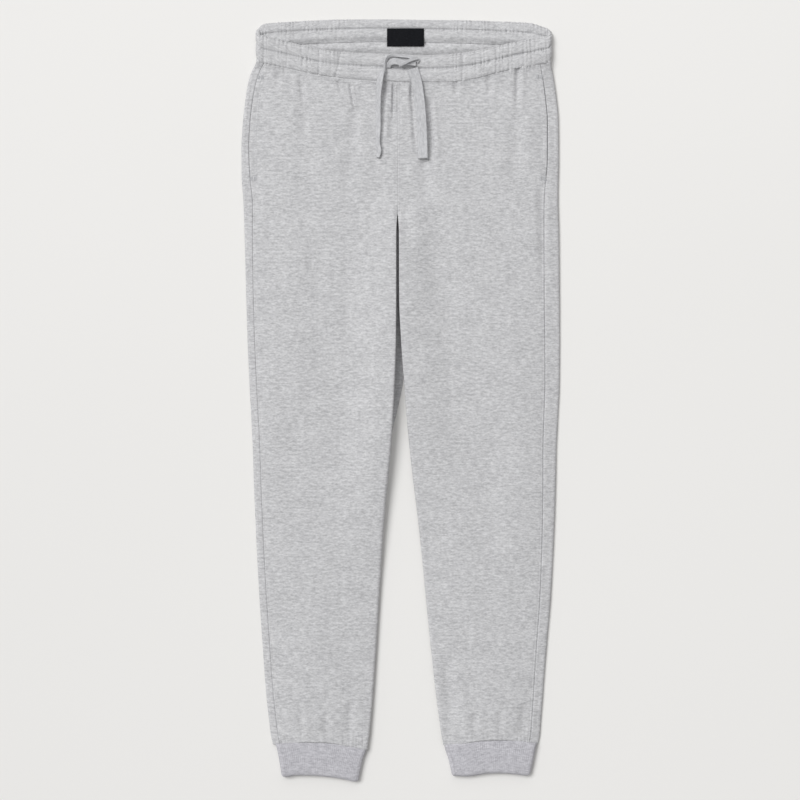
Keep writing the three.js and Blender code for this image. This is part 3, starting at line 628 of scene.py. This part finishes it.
CREASES = (  # column and row of its two ends, half width, depth
    (349.5, 83, 355.5, 114, 1.7, 3.6), (355, 106, 352, 150, 7, 2.4), (352, 142, 345, 214, 11, 1.7),
    (337.5, 81, 342.5, 96, 2, 2.2), (300.5, 74, 304, 110, 3.6, 2.5), (304, 104, 303, 150, 8, 1.7),
    (304, 150, 306, 225, 12, 1.2), (278, 72, 277, 96, 4, 1.5), (393.2, 83, 393, 122, 1.6, 3.9),
    (393.4, 106, 392.5, 150, 6, 1.4), (411, 83, 411.6, 100, 1.7, 2.6), (455, 81, 457, 99, 3.4, 2.1),
    (488, 75, 490, 100, 3.6, 1.8), (517.5, 62, 517, 118, 3.6, 2.8), (517, 108, 514, 196, 9, 1.7),
    (411.5, 84, 416.5, 164, 3.2, 2.6), (427, 96, 433, 172, 4.4, 4.8), (423, 136, 426, 175, 6, 3),
    (384.5, 78, 382.5, 160, 2.6, 1.6), (425, 158, 427, 212, 9, 2.1), (432, 200, 437, 335, 15, 1.8),
    (405, 205, 408, 260, 7, 1.4), (312, 240, 318, 330, 16, 1.4), (541, 180, 543, 300, 5, 1.7),
    (288, 420, 296, 560, 18, 1.2), (492, 430, 486, 590, 18, 1.2), (446, 655, 454, 742, 8, 2.1),
    (300, 708, 302, 742, 5, 1.8), (326, 712, 327, 741, 5, 1.8), (350, 700, 349, 746, 6, 1.8),
    (474, 712, 475, 741, 5, 1.8), (500, 708, 500, 738, 5, 1.5), (524, 702, 522, 741, 6, 1.8),
)
CREASE_LIST = [(*from_photo(*row[:2]), *from_photo(*row[2:4]), *row[4:]) for row in CREASES]


def waves(x, parts):
    return sum(size * sin(x / length + start) for size, length, start in parts)


def gather(x):
    """Uneven round gathers with sharp valleys between them, from -1 to 1, now strong and now faint."""
    phase = pi * x / GATHER_PITCH + waves(x, GATHER_WAVES)
    return (1 - 2 * (1 - abs(cos(phase))) ** 2) * clamp(0.5 + waves(x, FORCE_WAVES))


def gather_strength(x):
    return mix(FAINT, 1.0, smooth((abs(x - CENTRE_X) - FAINT_HALF) / FAINT_FADE))


def crease(x, y):
    """How deep the listed creases are at a point of the front."""
    depth = 0.0
    for x1, y1, x2, y2, half, deep in CREASE_LIST:
        reach = 4 * half
        if x < min(x1, x2) - reach or x > max(x1, x2) + reach or y > y1 + 2 or y < y2 - 2:
            continue
        run = clamp((y1 - y) / (y1 - y2))
        away = (x - mix(x1, x2, run)) / half
        taper = smooth(run / CREASE_START) * smooth((1 - run) / CREASE_END)
        beside = bell(away - RIDGE_AWAY) + bell(away + RIDGE_AWAY) / 2
        depth += deep * taper * (bell(away) - RIDGE * beside)
    return depth


SWELLS = {-1: table("down rise", [
    (225, 0), (262, 4.5), (300, 8), (420, 12), (530, 12.5), (580, 11), (650, 6.5), (760, 0),
    (850, -1), (975, -1),
]), 1: table("down rise", [
    (225, 0), (262, 4), (300, 6.5), (420, 7.5), (520, 6), (600, 2), (760, -2), (975, -1.5),
])}
NOTCH_DOWN = 268.0  # the crotch, where the cloth runs down into the slit
NOTCH_DEPTH = 3.5
NOTCH_HALF = 6.0
SWELL_REACH = 70.0


def swell(leg, out, down, inner):
    """The thighs' surplus is tucked in beside the inseam, and lifts the front there."""
    rise = read(SWELLS[leg["sign"]], "rise", down)
    return rise * (1 - clamp((out - inner) / SWELL_REACH) ** 2) ** 2


def top_height(leg, out, down):
    """Height of the cloth's upper face above the floor."""
    outer, inner, _, _ = section_of(leg, down)
    x, y = on_leg(leg, out, down)
    across = clamp((out - inner) / (outer - inner))
    body = 1 - clamp(out / outer) ** CROWN_POWER
    single = 1 - abs(2 * across - 1) ** CROWN_POWER
    crown = CROWN * mix(body, single, smooth((down - CROWN_PARTS) / CROWN_PART_RUN))
    # slow waves of uneven lengths, which differ from leg to leg
    wave = sin(out / 33 + down / 140 + leg["sign"]) * sin(down / 61 + 0.5 * leg["sign"])
    wave += 0.6 * sin(out / 19 - down / 83)
    from_band = max(0.0, down - band_edge("frontSeam", x))
    pucker = PUCKER_HEIGHT * gather(x) * gather_strength(x) * exp(-from_band / GATHER_RUN)
    from_cuff = max(0.0, CUFF_SEAM_DOWN - down)
    cuff_pucker = CUFF_PUCKER * gather(x * 0.8 + 40) * exp(-from_cuff / CUFF_PUCKER_RUN)
    calm = 1 - exp(-from_band / CALM_RUN)
    height = BODY + (crown + WAVE * wave) * calm + swell(leg, out, down, inner)
    height -= FOLD_FALL * clamp(1 - (outer - out) / FOLD_FALL_RUN) ** FOLD_FALL_POWER * calm
    height -= NOTCH_DEPTH * exp(-((down - NOTCH_DOWN) ** 2 + 4 * out * out) / NOTCH_HALF ** 2)
    height += SEAM_RISE * exp(-from_band / GATHER_RUN)
    return height + pucker + cuff_pucker - crease(x, y)


# %% [markdown]
# ## Front panels
# A front runs from the side seam to the centre seam at the hips and to the inseam down the leg. Its edges
# dip where they are sewn in, and shallow grooves show where the twin needles pulled the cloth down.

# %% Front panels
EDGE_ROUND_OFF = table("down radius", [(262, 1.1), (400, 1.5), (520, 3), (640, 4.6), (975, 3.6)])
EDGE_SHARE = 0.09  # share of the columns that make this edge
UNDERCUT = 8.0  # how far the inseam lies back under the rolled edge
INSEAM_HIGH = 4.4
SEAM_DIP = 0.8
SEAM_REACH = 2.2
UNDER_DIP = 0.4
UNDER_REACH = 3.2
GROOVE = 0.32
GROOVE_HALF = 0.9
NEEDLES = (2.3, 5.2)  # the two needle lines below the waist seam
MOUTH_NEEDLES = (6.5, 9.5)  # and those along the pocket mouth
CENTRE_NEEDLE = 3.2
SEAM_NEEDLE = 3.0  # along the side seam and above the cuff
MOUTH_FADE = 6.0
MOUTH_RISE = 0.5  # the mouth's edge stands up a little
MOUTH_RISE_RUN = 12.0
ROW_CROWDING = 0.62
COLUMN_CROWDING = 0.35
FRONT_START = 60.0  # about where the front panels start


def crowd(t, amount):
    """Crowds even steps towards both ends."""
    return t - amount * sin(2 * pi * t) / (2 * pi)


def dip(distance):
    return SEAM_DIP * fall(distance, SEAM_REACH)


def under(distance):
    """The cloth goes down where it runs in under another piece."""
    return UNDER_DIP * fall(distance, UNDER_REACH)


def groove(distance):
    return GROOVE * bell(distance / GROOVE_HALF)


def mouth_share(down):
    """How much of the pocket mouth a place has, from 0 to 1."""
    return smooth((down - MOUTH_TOP) / MOUTH_FADE) * smooth((MOUTH_BOTTOM - down) / MOUTH_FADE)


def row_down(seam_down, cuff_down, v):
    return mix(seam_down - SEWN_UNDER, cuff_down + SEWN_UNDER, crowd(v, ROW_CROWDING))


def at_ends(seam_down, cuff_down, down):
    """How far a panel goes down where it runs in under the band and the cuff."""
    sewn = under(down - seam_down + SEWN_UNDER) + under(cuff_down + SEWN_UNDER - down)
    return sewn + groove(cuff_down - down - SEAM_NEEDLE)


def edge_radius(down):
    """How round the inner edge of a leg is. It is tight where the two legs press on each other."""
    return read(EDGE_ROUND_OFF, "radius", down)


def edge_curve(inner, closed, share, top, radius):
    """The inner edge of a leg: flat to the centre seam, or rolled over and back under to the inseam."""
    open_out = inner + radius * (1 - share)
    if share < 0.5:
        angle = share * pi
        rolled_out = inner + radius * (1 - sin(angle))
        rolled_z = top - radius * (1 - cos(angle))
    else:
        back = 2 * share - 1
        rolled_out = inner + UNDERCUT * smooth(back)
        rolled_z = mix(top - radius, INSEAM_HIGH, back)
    return mix(open_out, rolled_out, closed), mix(top, rolled_z, closed)


def front_place(leg, cuff):
    start = section_of(leg, FRONT_START)
    foot = section_of(leg, CUFF_SEAM_DOWN)

    def place(u, v):
        edge = clamp((u - 1 + EDGE_SHARE) / EDGE_SHARE)
        share = crowd(clamp(u / (1 - EDGE_SHARE)), COLUMN_CROWDING)
        top_out = mix(start[0] - start[2], edge_radius(0) * (1 - edge), share)
        seam_down = band_edge("frontSeam", on_leg(leg, top_out, 0)[0])
        foot_out = mix(foot[0] - foot[2], foot[1] + edge_radius(CUFF_SEAM_DOWN) * (1 - edge), share)
        cuff_down = cuff_seam(leg, cuff, foot_out)
        down = row_down(seam_down, cuff_down, v)
        outer, inner, margin, closed = section_of(leg, down)
        seam = outer - margin - side_gap(down)
        radius = edge_radius(down)
        out = mix(seam, inner + radius, share)
        z = top_height(leg, out, down)
        if edge > 0:
            out, z = edge_curve(inner, closed, edge, z, radius)
        mouth = mouth_share(down)
        z += MOUTH_RISE * mouth * clamp(1 - (seam - out) / MOUTH_RISE_RUN)
        z -= dip(seam - out) * (1 - mouth / 2) + at_ends(seam_down, cuff_down, down)
        z -= (dip(out - inner) / 2 + groove(out - CENTRE_NEEDLE)) * (1 - closed)
        z -= sum(groove(seam - out - needle) for needle in MOUTH_NEEDLES) * mouth
        z -= groove(seam - out - SEAM_NEEDLE) * (1 - mouth)
        z -= sum(groove(down - seam_down - needle) for needle in NEEDLES)
        return *on_leg(leg, out, down), z

    return place


for side, leg, cuff in SIDES:
    front, cut = sew(f"front_{side}_cloth", 144, 196, front_place(leg, cuff),
                     level=True, upward=True, thickness=CLOTH)
    hand_over_sheet(front, jersey, "jersey", f"front_{side}")

# %% [markdown]
# ## Back panels
# A back starts at the inseam, lies over the floor, turns up round the outer fold of the leg and comes over
# to the side seam on the front. The surplus of the right thigh reaches in under the left leg below the
# crotch, so the slit between the two legs is closed at the floor and dark.

# %% Back panels
EDGE_PART = 0.10  # the shares of the columns that end the inner edge, the floor and the fold
FLOOR_PART = 0.62
FOLD_PART = 0.90
BACK_START = 50.0  # about where the back panels start
TUCK_DOWN = 580.0  # how far down the right thigh's surplus reaches out of the right leg
TUCK_RUN = 105.0
TUCK_POWER = 1.5
TUCK_SHARE = 0.6  # share of the left leg's rounded edge that it reaches in under
INSEAM_SPEED = 3.0  # the inseam reaches its height in a third of the way in which the legs part
BACK_MOUTH_DIP = 0.3
OPENING_PUFF = 3.6  # the back stands up a little in the waist opening and falls towards the front band
OPENING_EDGE = 1.0
OPENING_RISE = 5.0
OPENING_FALL = 11.0


def back_place(leg, cuff):
    def path(u, down):
        """A place round the section: distance from the centre seam, and height."""
        outer, inner, margin, closed = section_of(leg, down)
        fold_middle = outer - FOLD_RADIUS
        radius = edge_radius(down)
        tuck = inner + radius
        if leg is RIGHT_LEG:
            touch = clamp((TUCK_DOWN - down) / TUCK_RUN) ** TUCK_POWER
            tuck = mix(tuck, -section_of(LEFT_LEG, down)[1] - TUCK_SHARE * radius, touch)
        floor_start = mix(inner + radius, tuck, closed)
        if u < EDGE_PART:
            share = u / EDGE_PART
            open_out = inner + radius * share
            angle = share * pi / 2
            tucked = mix(inner + UNDERCUT, floor_start, sin(angle))
            high = clamp(INSEAM_SPEED * closed) * INSEAM_HIGH
            return mix(open_out, tucked, closed), high * cos(angle)
        if u < FLOOR_PART:
            return mix(floor_start, fold_middle, (u - EDGE_PART) / (FLOOR_PART - EDGE_PART)), 0.0
        if u < FOLD_PART:
            angle = ((u - FLOOR_PART) / (FOLD_PART - FLOOR_PART) - 0.5) * pi
            rise = top_height(leg, fold_middle, down)
            return fold_middle + FOLD_RADIUS * cos(angle), rise / 2 * (1 + sin(angle))
        out = mix(fold_middle, outer - margin + side_gap(down), (u - FOLD_PART) / (1 - FOLD_PART))
        return out, top_height(leg, out, down)

    def place(u, v):
        x = on_leg(leg, path(u, BACK_START)[0], 0)[0]
        turned = clamp((u - FLOOR_PART) / (FOLD_PART - FLOOR_PART))
        seam_down = mix(band_edge("backSeam", x), band_edge("frontSeam", x), turned)
        cuff_down = cuff_seam(leg, cuff, path(u, CUFF_SEAM_DOWN)[0])
        down = row_down(seam_down, cuff_down, v)
        out, z = path(u, down)
        if u < FLOOR_PART:
            rise = smooth((down - seam_down - OPENING_EDGE) / OPENING_RISE)
            z += OPENING_PUFF * rise * smooth((band_edge("frontTop", x) + OPENING_EDGE - down) / OPENING_FALL)
        if u > FOLD_PART:
            outer, _, margin, _ = section_of(leg, down)
            z -= dip(out - outer + margin - side_gap(down)) + BACK_MOUTH_DIP * mouth_share(down)
            z -= at_ends(seam_down, cuff_down, down)
        return *on_leg(leg, out, down), z

    return place


for side, leg, cuff in SIDES:
    back, cut = sew(f"back_{side}_cloth", 110, 150, back_place(leg, cuff),
                    level=True, upward=False, thickness=CLOTH)
    hand_over_sheet(back, jersey, "jersey", f"back_{side}")

# %% [markdown]
# ## Rings that are laid flat
# The band and the cuffs are tubes that lie flattened: along the front, round a fold, back underneath and
# round the other fold. One walk round such a ring gives the place and the direction that faces outwards, and
# a closed section carried along it makes the double cloth.

# %% Walk round a ring
SECTION_END = 0.05


def round_trip(u, straight, radius):
    """Share along the straight, the outward direction (sideways, up) and turn, 0 in front to 1 behind."""
    half = straight + pi * radius
    back = u > 0.5
    walked = (2 * u - 1) * half if back else 2 * u * half
    along = min(1.0, walked / straight)
    angle = max(0.0, walked - straight) / radius
    side, up, turn = sin(angle), cos(angle), angle / pi
    return (1 - along, -side, -up, 1 - turn) if back else (along, side, up, turn)


def round_section(v):
    """Place on a closed strip section: share of its height, face (0 outer to 1 inner) and end bulge."""
    half, face = 0.5, 0.5 - SECTION_END
    walked = v - half if v >= half else v
    share = min(1.0, walked / face)
    end = max(0.0, walked - face) / SECTION_END
    bulge = sin(pi * end)
    return (1 - share, 1 - end, -bulge) if v >= half else (share, end, bulge)


def behind_of(turn):
    """How far a place on a ring has come to its back, which lies flat on the floor."""
    return smooth(turn * 1.6 - 0.6)


# %% [markdown]
# ## Waistband
# The band is doubled over elastic and sewn through along its middle, which makes two channels. Each channel
# puffs up, the sewn lines pull in, and the gathers are strongest at the lines, as elastic pulls there.

# %% Waistband
PUFF = 2.3
PINCH = 1.7
PINCH_HALF = 1.1
SEAM_SHARE = 0.96  # a channel keeps a little of its puff at the waist seam
BACK_STITCH = 0.42  # the middle line on the back of the band, which is laid at a slant
BAND_HEIGHT = 36.0
EDGE_ROLL = 1.6
EDGE_REACH = 2.2
SEAM_ROLL = 0.2
SEAM_ROLL_REACH = 1.8
EDGE_PINCH = 1.9  # the dent where the elastic ends, EDGE_REACH below the band's free edge
EDGE_PINCH_HALF = 0.8
SEWN_EDGE = 2.2  # the wall where the back of the band runs out into the back panels
SEWN_SHARE = 0.25
SCALLOP = 0.45  # how far the gathers make the band's free edge wave
PULLS = ((3.4, 1.0, 0), (2.8, 1.0, 37), (3.0, 0.3, 11))  # reach, strength and shift of each line's gathers
PULL_ALL_OVER = 0.1
BACK_SHIFT = 60.0  # the back of the band has other gathers than its front
BAND_CREASES = (  # column at the band's top and at its seam, half width, depth
    (264.5, 264, 1.8, 1.1), (288, 287, 1.2, 0.8), (301.5, 303, 1.2, 0.9), (309, 308, 1.2, 0.8),
    (319.7, 319, 1.4, 1.3), (341.2, 336, 1.5, 1.4), (463.5, 462.5, 1.4, 1.2), (496, 496.5, 1.4, 1.3),
    (510, 509, 1.2, 0.8), (523, 524, 1.3, 0.9), (531, 532, 1.2, 0.8), (546, 548, 1.9, 1.3),
)


def channel(share, line):
    """Which part of a channel a place is in, from 0 to 1 between its two sewn lines."""
    return share / line if share < line else (share - line) / (1 - line)


def band_crease(x, share):
    depth = 0.0
    for top, bottom, half, deep in BAND_CREASES:
        away = (x - from_photo(mix(top, bottom, share), 0)[0]) / half
        if abs(away) < 3:
            depth += deep * bell(away)
    return depth


def band_lift(share, x, turn):
    """How far the band's face stands out: two puffed channels, the pull of its lines, gathers, creases."""
    line = mix(MIDDLE_STITCH, BACK_STITCH, turn)
    from_top, from_seam = share * BAND_HEIGHT, (1 - share) * BAND_HEIGHT
    from_line = abs(share - line) * BAND_HEIGHT
    lift = PUFF * sqrt(max(0.0, sin(pi * min(SEAM_SHARE, channel(share, line)))))
    lift -= PINCH * bell(from_line / PINCH_HALF)
    lift -= EDGE_ROLL * fall(from_top, EDGE_REACH) + SEAM_ROLL * fall(from_seam, SEAM_ROLL_REACH)
    lift -= EDGE_PINCH * bell((from_top - EDGE_REACH) / EDGE_PINCH_HALF)
    along = x + BACK_SHIFT * turn
    pull = PULL_ALL_OVER * gather(along)
    for distance, (reach, strength, shift) in zip((from_top, from_line, from_seam), PULLS):
        pull += strength * gather(along + shift) * exp(-distance / reach)
    lift += GATHER_HEIGHT * pull * gather_strength(x)
    return lift - band_crease(x, share) * (1 - 0.6 * turn)


def band_place(u, v):
    radius = BAND / 2
    left, right = BAND_LEFT + radius, BAND_RIGHT - radius
    along, side, up, turn = round_trip(u, right - left, radius)
    x = mix(left, right, along)
    share, face, bulge = round_section(v)
    top = mix(band_edge("frontTop", x), band_edge("backTop", x), turn)
    seam = mix(band_edge("frontSeam", x), band_edge("backSeam", x), turn)
    behind = behind_of(turn)
    lift = band_lift(share, x, turn)
    outer = lift * (1 - behind) * (1 - 0.5 * abs(side))
    wall = mix(BAND_WALL, SEWN_EDGE, behind * smooth((share - 1 + SEWN_SHARE) / SEWN_SHARE))
    inner = -wall - 0.8 * lift * behind
    depth = mix(outer, inner, face) + radius
    wavy = SCALLOP * gather(x) * gather_strength(x) * (1 - share) ** 4
    down = mix(top, seam, share) + bulge * (0.8 if bulge < 0 else 0.2) - wavy
    return x + side * depth, LENGTH / 2 - down, radius + up * depth


band, cut = sew("waistband_cloth", 760, 84, band_place, ring=True, tube=True)
hand_over_sheet(band, jersey, "jersey", "waistband")

# %% [markdown]
# ## Rib cuffs
# Each cuff is a strip of rib knit, doubled and sewn to the gathered foot of the leg. The ribs are modelled,
# because light and shade make them visible, and the finer loops are left to the material.

# %% Rib cuffs
RIB_PITCH = 2.7
RIB_HEIGHT = 0.36
RIB_START = 0.08  # the shares of the height over which the ribs rise from the seam and end at the hem
RIB_END = 0.06
RIB_WIDTH = 108.0  # the flat cuff as the ribs are counted
CUFF_PUFF = 0.7
CUFF_SEAM_DIP = 0.9
HEM_DIP = 1.1


def cuff_place(leg, cuff):
    radius = CUFF / 2

    def place(u, v):
        along, side, up, turn = round_trip(u, RIB_WIDTH, radius)
        share, face, bulge = round_section(v)
        walked = u * 2 * (RIB_WIDTH + pi * radius)
        ribs = RIB_HEIGHT * (abs(cos(pi * walked / RIB_PITCH)) - 0.5)
        ribs *= smooth(share / RIB_START) * smooth((1 - share) / RIB_END)
        puff = CUFF_PUFF * sin(pi * share) ** 0.5
        puff -= CUFF_SEAM_DIP * fall(share, RIB_END) + HEM_DIP * fall(1 - share, RIB_END)
        outer = (ribs + puff) * (1 - behind_of(turn))
        depth = mix(outer, -CUFF_WALL, face) + radius
        hem = read(cuff["edges"], "hem", along)

        def out_at(down):
            near = read(cuff["sides"], "inner", down) + radius
            far = read(cuff["sides"], "outer", down) - radius
            return mix(near, far, along) + side * depth

        down = mix(cuff_seam(leg, cuff, out_at(CUFF_SEAM_DOWN)), hem, share)
        out = out_at(down)
        down += 0.8 * max(0.0, bulge) - 0.8 * smooth((share - 0.5) * 2)
        return *on_leg(leg, out, down), radius + up * depth

    return place


for side, leg, cuff in SIDES:
    cuff_rib, cut = sew(f"cuff_{side}_rib", 520, 30, cuff_place(leg, cuff), ring=True, tube=True)
    hand_over_sheet(cuff_rib, rib, "rib", f"cuff_{side}")

# %% [markdown]
# ## Pocket bags
# A side pocket is a bag of the same jersey, folded to a U between front and back, with its open side at the
# mouth. Almost nothing of it shows, but without it the mouth would look into an empty leg.

# %% Pocket bags
BAG_LAYER = 0.8
BAG_UNDER = 3.0  # how far each layer runs past the mouth
BAG_CLEAR = 0.4
BAG_LOW = CLOTH + BAG_LAYER + 0.1
BAG_HIGH = BODY - JERSEY - BAG_CLEAR
BAG_TOP = 88.0
BAG_BOTTOM = 254.0
BAG_SIDE = 0.4  # the shares of the columns in each layer and in the fold between them
BAG_FOLD = 0.2
BAG_REACH = table("down reach", [(88, 112), (130, 124), (200, 128), (236, 112), (254, 72)])


def bag_place(leg):
    middle = (BAG_LOW + BAG_HIGH) / 2
    rise = (BAG_HIGH - BAG_LOW) / 2

    def place(u, v):
        down = mix(BAG_TOP, BAG_BOTTOM, v)
        outer, _, margin, _ = section_of(leg, down)
        mouth = outer - margin
        end = mouth - read(BAG_REACH, "reach", down)
        if u < BAG_SIDE:
            out, z = mix(mouth + BAG_UNDER, end, u / BAG_SIDE), BAG_LOW
        elif u > 1 - BAG_SIDE:
            out = mix(end, mouth - BAG_UNDER, (u - 1 + BAG_SIDE) / BAG_SIDE)
            z = min(BAG_HIGH, top_height(leg, out, down) - CLOTH - BAG_CLEAR)
        else:
            angle = (u - BAG_SIDE) / BAG_FOLD * pi
            out, z = end - rise * sin(angle), middle - rise * cos(angle)
        return *on_leg(leg, out, down), z

    return place


for side, leg, _ in SIDES:
    bag, cut = sew(f"pocket_bag_{side}_cloth", 40, 24, bag_place(leg), level=True, thickness=BAG_LAYER)
    hand_over_sheet(bag, jersey, "jersey", f"pocket_bag_{side}")

# %% [markdown]
# ## Neck label
# A bare black woven tab is sewn over the inside of the back band. Its corners are square and its middle
# bows up a little, as a stiff ribbon does over gathered cloth.

# %% Label
label_low, label_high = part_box("label")
LABEL_BOW = 0.5
LABEL_RIPPLE = 0.12
LABEL_TOP = 1.2  # its upper face above the foot of the CAD label


def label_place(u, v):
    x = mix(label_low[0], label_high[0], u) / MM
    y = mix(label_high[1], label_low[1], v) / MM
    bow = LABEL_BOW * sin(pi * u) + LABEL_RIPPLE * sin(14 * u + 3 * v)
    return x, y, label_low[2] / MM + LABEL_TOP + bow


tab, cut = sew("label_tab", 36, 24, label_place, upward=True, thickness=0.7)
hand_over_sheet(tab, woven, "label", "label")

# %% [markdown]
# ## Stitches
# Topstitching is short lengths of thread. A painted line would look flat, so one stitch is repeated along a
# line, and a ray from above finds the cloth under each, so the rows follow every gather.

# %% Stitches
STITCH = 2.6
STITCH_GAP = 0.7
THREAD = 0.5
RAY_START = 0.1  # well above the garment

stitch_bm = bmesh.new()
bmesh.ops.create_icosphere(stitch_bm, subdivisions=1, radius=0.5)
STITCH_FACES = len(stitch_bm.faces)
stitch_mesh = mesh_of("one_stitch", stitch_bm)


def surface_of(piece):
    """Gives the height of a finished piece's upper face at a place, or None beside it."""
    tree = BVHTree.FromObject(piece, bpy.context.evaluated_depsgraph_get())

    def height(x, y):
        hit = tree.ray_cast(Vector((x, y, RAY_START)), Vector((0, 0, -1)))[0]
        return None if hit is None else hit.z

    return height


def resample(points, step):
    """Even places along a line of (x, y) points."""
    line = [Vector((x, y)) for x, y in points]
    along = running([p.to_3d() for p in line])
    places, at, k = [], 0.0, 0
    while at < along[-1]:
        while along[k + 1] < at:
            k += 1
        places.append(line[k].lerp(line[k + 1], (at - along[k]) / (along[k + 1] - along[k])))
        at += step
    return places


def add_row(bm, points, height, lift=0.12, length=STITCH, gap=STITCH_GAP):
    """Adds a row of stitches along a line of (x, y) points in millimetres."""
    places = resample(points, length + gap)
    for a, b in zip(places, places[1:]):
        middle = (a + b) / 2 * MM
        z = height(middle.x, middle.y)
        if z is None:
            continue
        turn = atan2(b.y - a.y, b.x - a.x)
        size = Matrix.Diagonal((length * MM, THREAD * MM, THREAD * MM, 1.0))
        place = Matrix.Translation((middle.x, middle.y, z + lift * MM)) @ Matrix.Rotation(turn, 4, "Z")
        one = stitch_mesh.copy()
        one.transform(place @ size)
        bm.from_mesh(one)
        bpy.data.meshes.remove(one)


def finish_stitches(name, bm):
    bm.loops.layers.uv.new("cloth")
    mesh = mesh_of(name, bm)
    hand_over(add_object(name, mesh), thread, "jersey")
    print(f"{name}: {len(mesh.polygons) // STITCH_FACES} stitches")


# %% Stitches on the band
ROW_END = 8.0  # how far the rows end before the band's ends


def band_line(edges, share, below=0.0, left=BAND_LEFT + ROW_END, right=BAND_RIGHT - ROW_END):
    """A line at a share of the band's height, or below it, on its front or back half."""
    line = []
    for x in spread(left, right, steps=96):
        down = mix(band_edge(f"{edges}Top", x), band_edge(f"{edges}Seam", x), share) + below
        line.append((x, LENGTH / 2 - down))
    return line


band_height = surface_of(band)
bm = bmesh.new()
add_row(bm, band_line("front", MIDDLE_STITCH), band_height)
add_row(bm, band_line("back", BACK_STITCH), band_height)
finish_stitches("band_stitches", bm)

# %% Stitches on the panels
CENTRE_ROW = (96, 250)  # from below the tape's knot to above the crotch
FOOT_STITCH = 3.2
TACK_WIDTH = 11.0  # a bar tack is a block of close stitches across each end of the pocket mouth
TACK_ROWS = 12
TACK_PITCH = 0.45


def leg_line(leg, out_of, top, bottom):
    return [on_leg(leg, out_of(down), down) for down in spread(top, bottom, steps=120)]


for side, leg, cuff in SIDES:
    height = surface_of(bpy.data.objects[f"front_{side}_cloth"])

    def seam_out(down, inset):
        outer, _, margin, _ = section_of(leg, down)
        return outer - margin - side_gap(down) - inset

    bm = bmesh.new()
    add_row(bm, leg_line(leg, lambda down: CENTRE_NEEDLE, *CENTRE_ROW), height)
    ends = sorted(on_leg(leg, out, 0)[0] for out in (1.0, seam_out(FRONT_START, 1.0)))
    for needle in NEEDLES:
        add_row(bm, band_line("front", 1.0, needle, *ends), height)
    for needle in MOUTH_NEEDLES:
        line = leg_line(leg, lambda down: seam_out(down, needle), MOUTH_TOP + 2, MOUTH_BOTTOM - 2)
        add_row(bm, line, height)
    outer, inner, margin, _ = section_of(leg, CUFF_SEAM_DOWN)
    outs = spread(inner + 2, outer - margin - 1, steps=80)
    add_row(bm, [on_leg(leg, out, cuff_seam(leg, cuff, out) - FOOT_STITCH) for out in outs], height)
    for end in (MOUTH_TOP, MOUTH_BOTTOM):
        for k in range(TACK_ROWS):
            far = seam_out(end, -1.0)
            down = end + (k - TACK_ROWS / 2) * TACK_PITCH
            points = [on_leg(leg, far, down), on_leg(leg, far - TACK_WIDTH, down)]
            add_row(bm, points, height, length=5.0, gap=0.3, lift=0.2)
    finish_stitches(f"front_{side}_stitches", bm)

bpy.data.meshes.remove(stitch_mesh)

# %% [markdown]
# ## Floor and light
# The garment lies on a seamless pale sheet. A bright world gives broad, even light, and a wide soft sun from
# the upper left gives the edges a short soft shadow to the lower right. A soft box beyond the waist makes
# the picture a little lighter at its top than at its foot, as the photograph is.

# %% Floor
floor_bm = bmesh.new()
bmesh.ops.create_grid(floor_bm, x_segments=24, y_segments=24, size=2.5)
floor = add_object("floor", mesh_of("floor", floor_bm))
paper, tree, shader = new_material("pale_paper", roughness=0.9)
place = tree.nodes.new("ShaderNodeTexCoord")
tone = noise(tree, place.outputs["Object"])
paint(tree, shader, tone, 0.3, (0.83, 0.821, 0.804), 0.7, (0.846, 0.837, 0.82))
floor.data.materials.append(paper)

# %% Light
KEY_DIRECTION = Vector((0.6, -0.4, -1.0))
BOX_PLACE = Vector((-0.1, 1.5, 1.5))
world = bpy.data.worlds.new("studio")
scene.world = world
world.use_nodes = True
background = world.node_tree.nodes["Background"].inputs
background["Color"].default_value = (1.0, 1.0, 1.0, 1.0)
background["Strength"].default_value = 0.39

key_data = bpy.data.lights.new("key", "SUN")
key_data.energy = 2.02
key_data.angle = radians(34.0)
key = add_object("key", key_data)
key.rotation_euler = KEY_DIRECTION.to_track_quat("-Z", "Y").to_euler()

box_data = bpy.data.lights.new("soft_box", "AREA")
box_data.size = 1.5
box_data.energy = 5.9
soft_box = add_object("soft_box", box_data)
soft_box.location = BOX_PLACE
soft_box.rotation_euler = (-BOX_PLACE).to_track_quat("-Z", "Y").to_euler()
soft_box.visible_camera = False
scene.view_settings.view_transform = "Standard"

# %% [markdown]
# ## Finish
# The CAD box is printed. The cloth may stand only a little proud of the CAD model.

# %% Finish
bpy.context.view_layer.update()
print("cad box", cad_box)
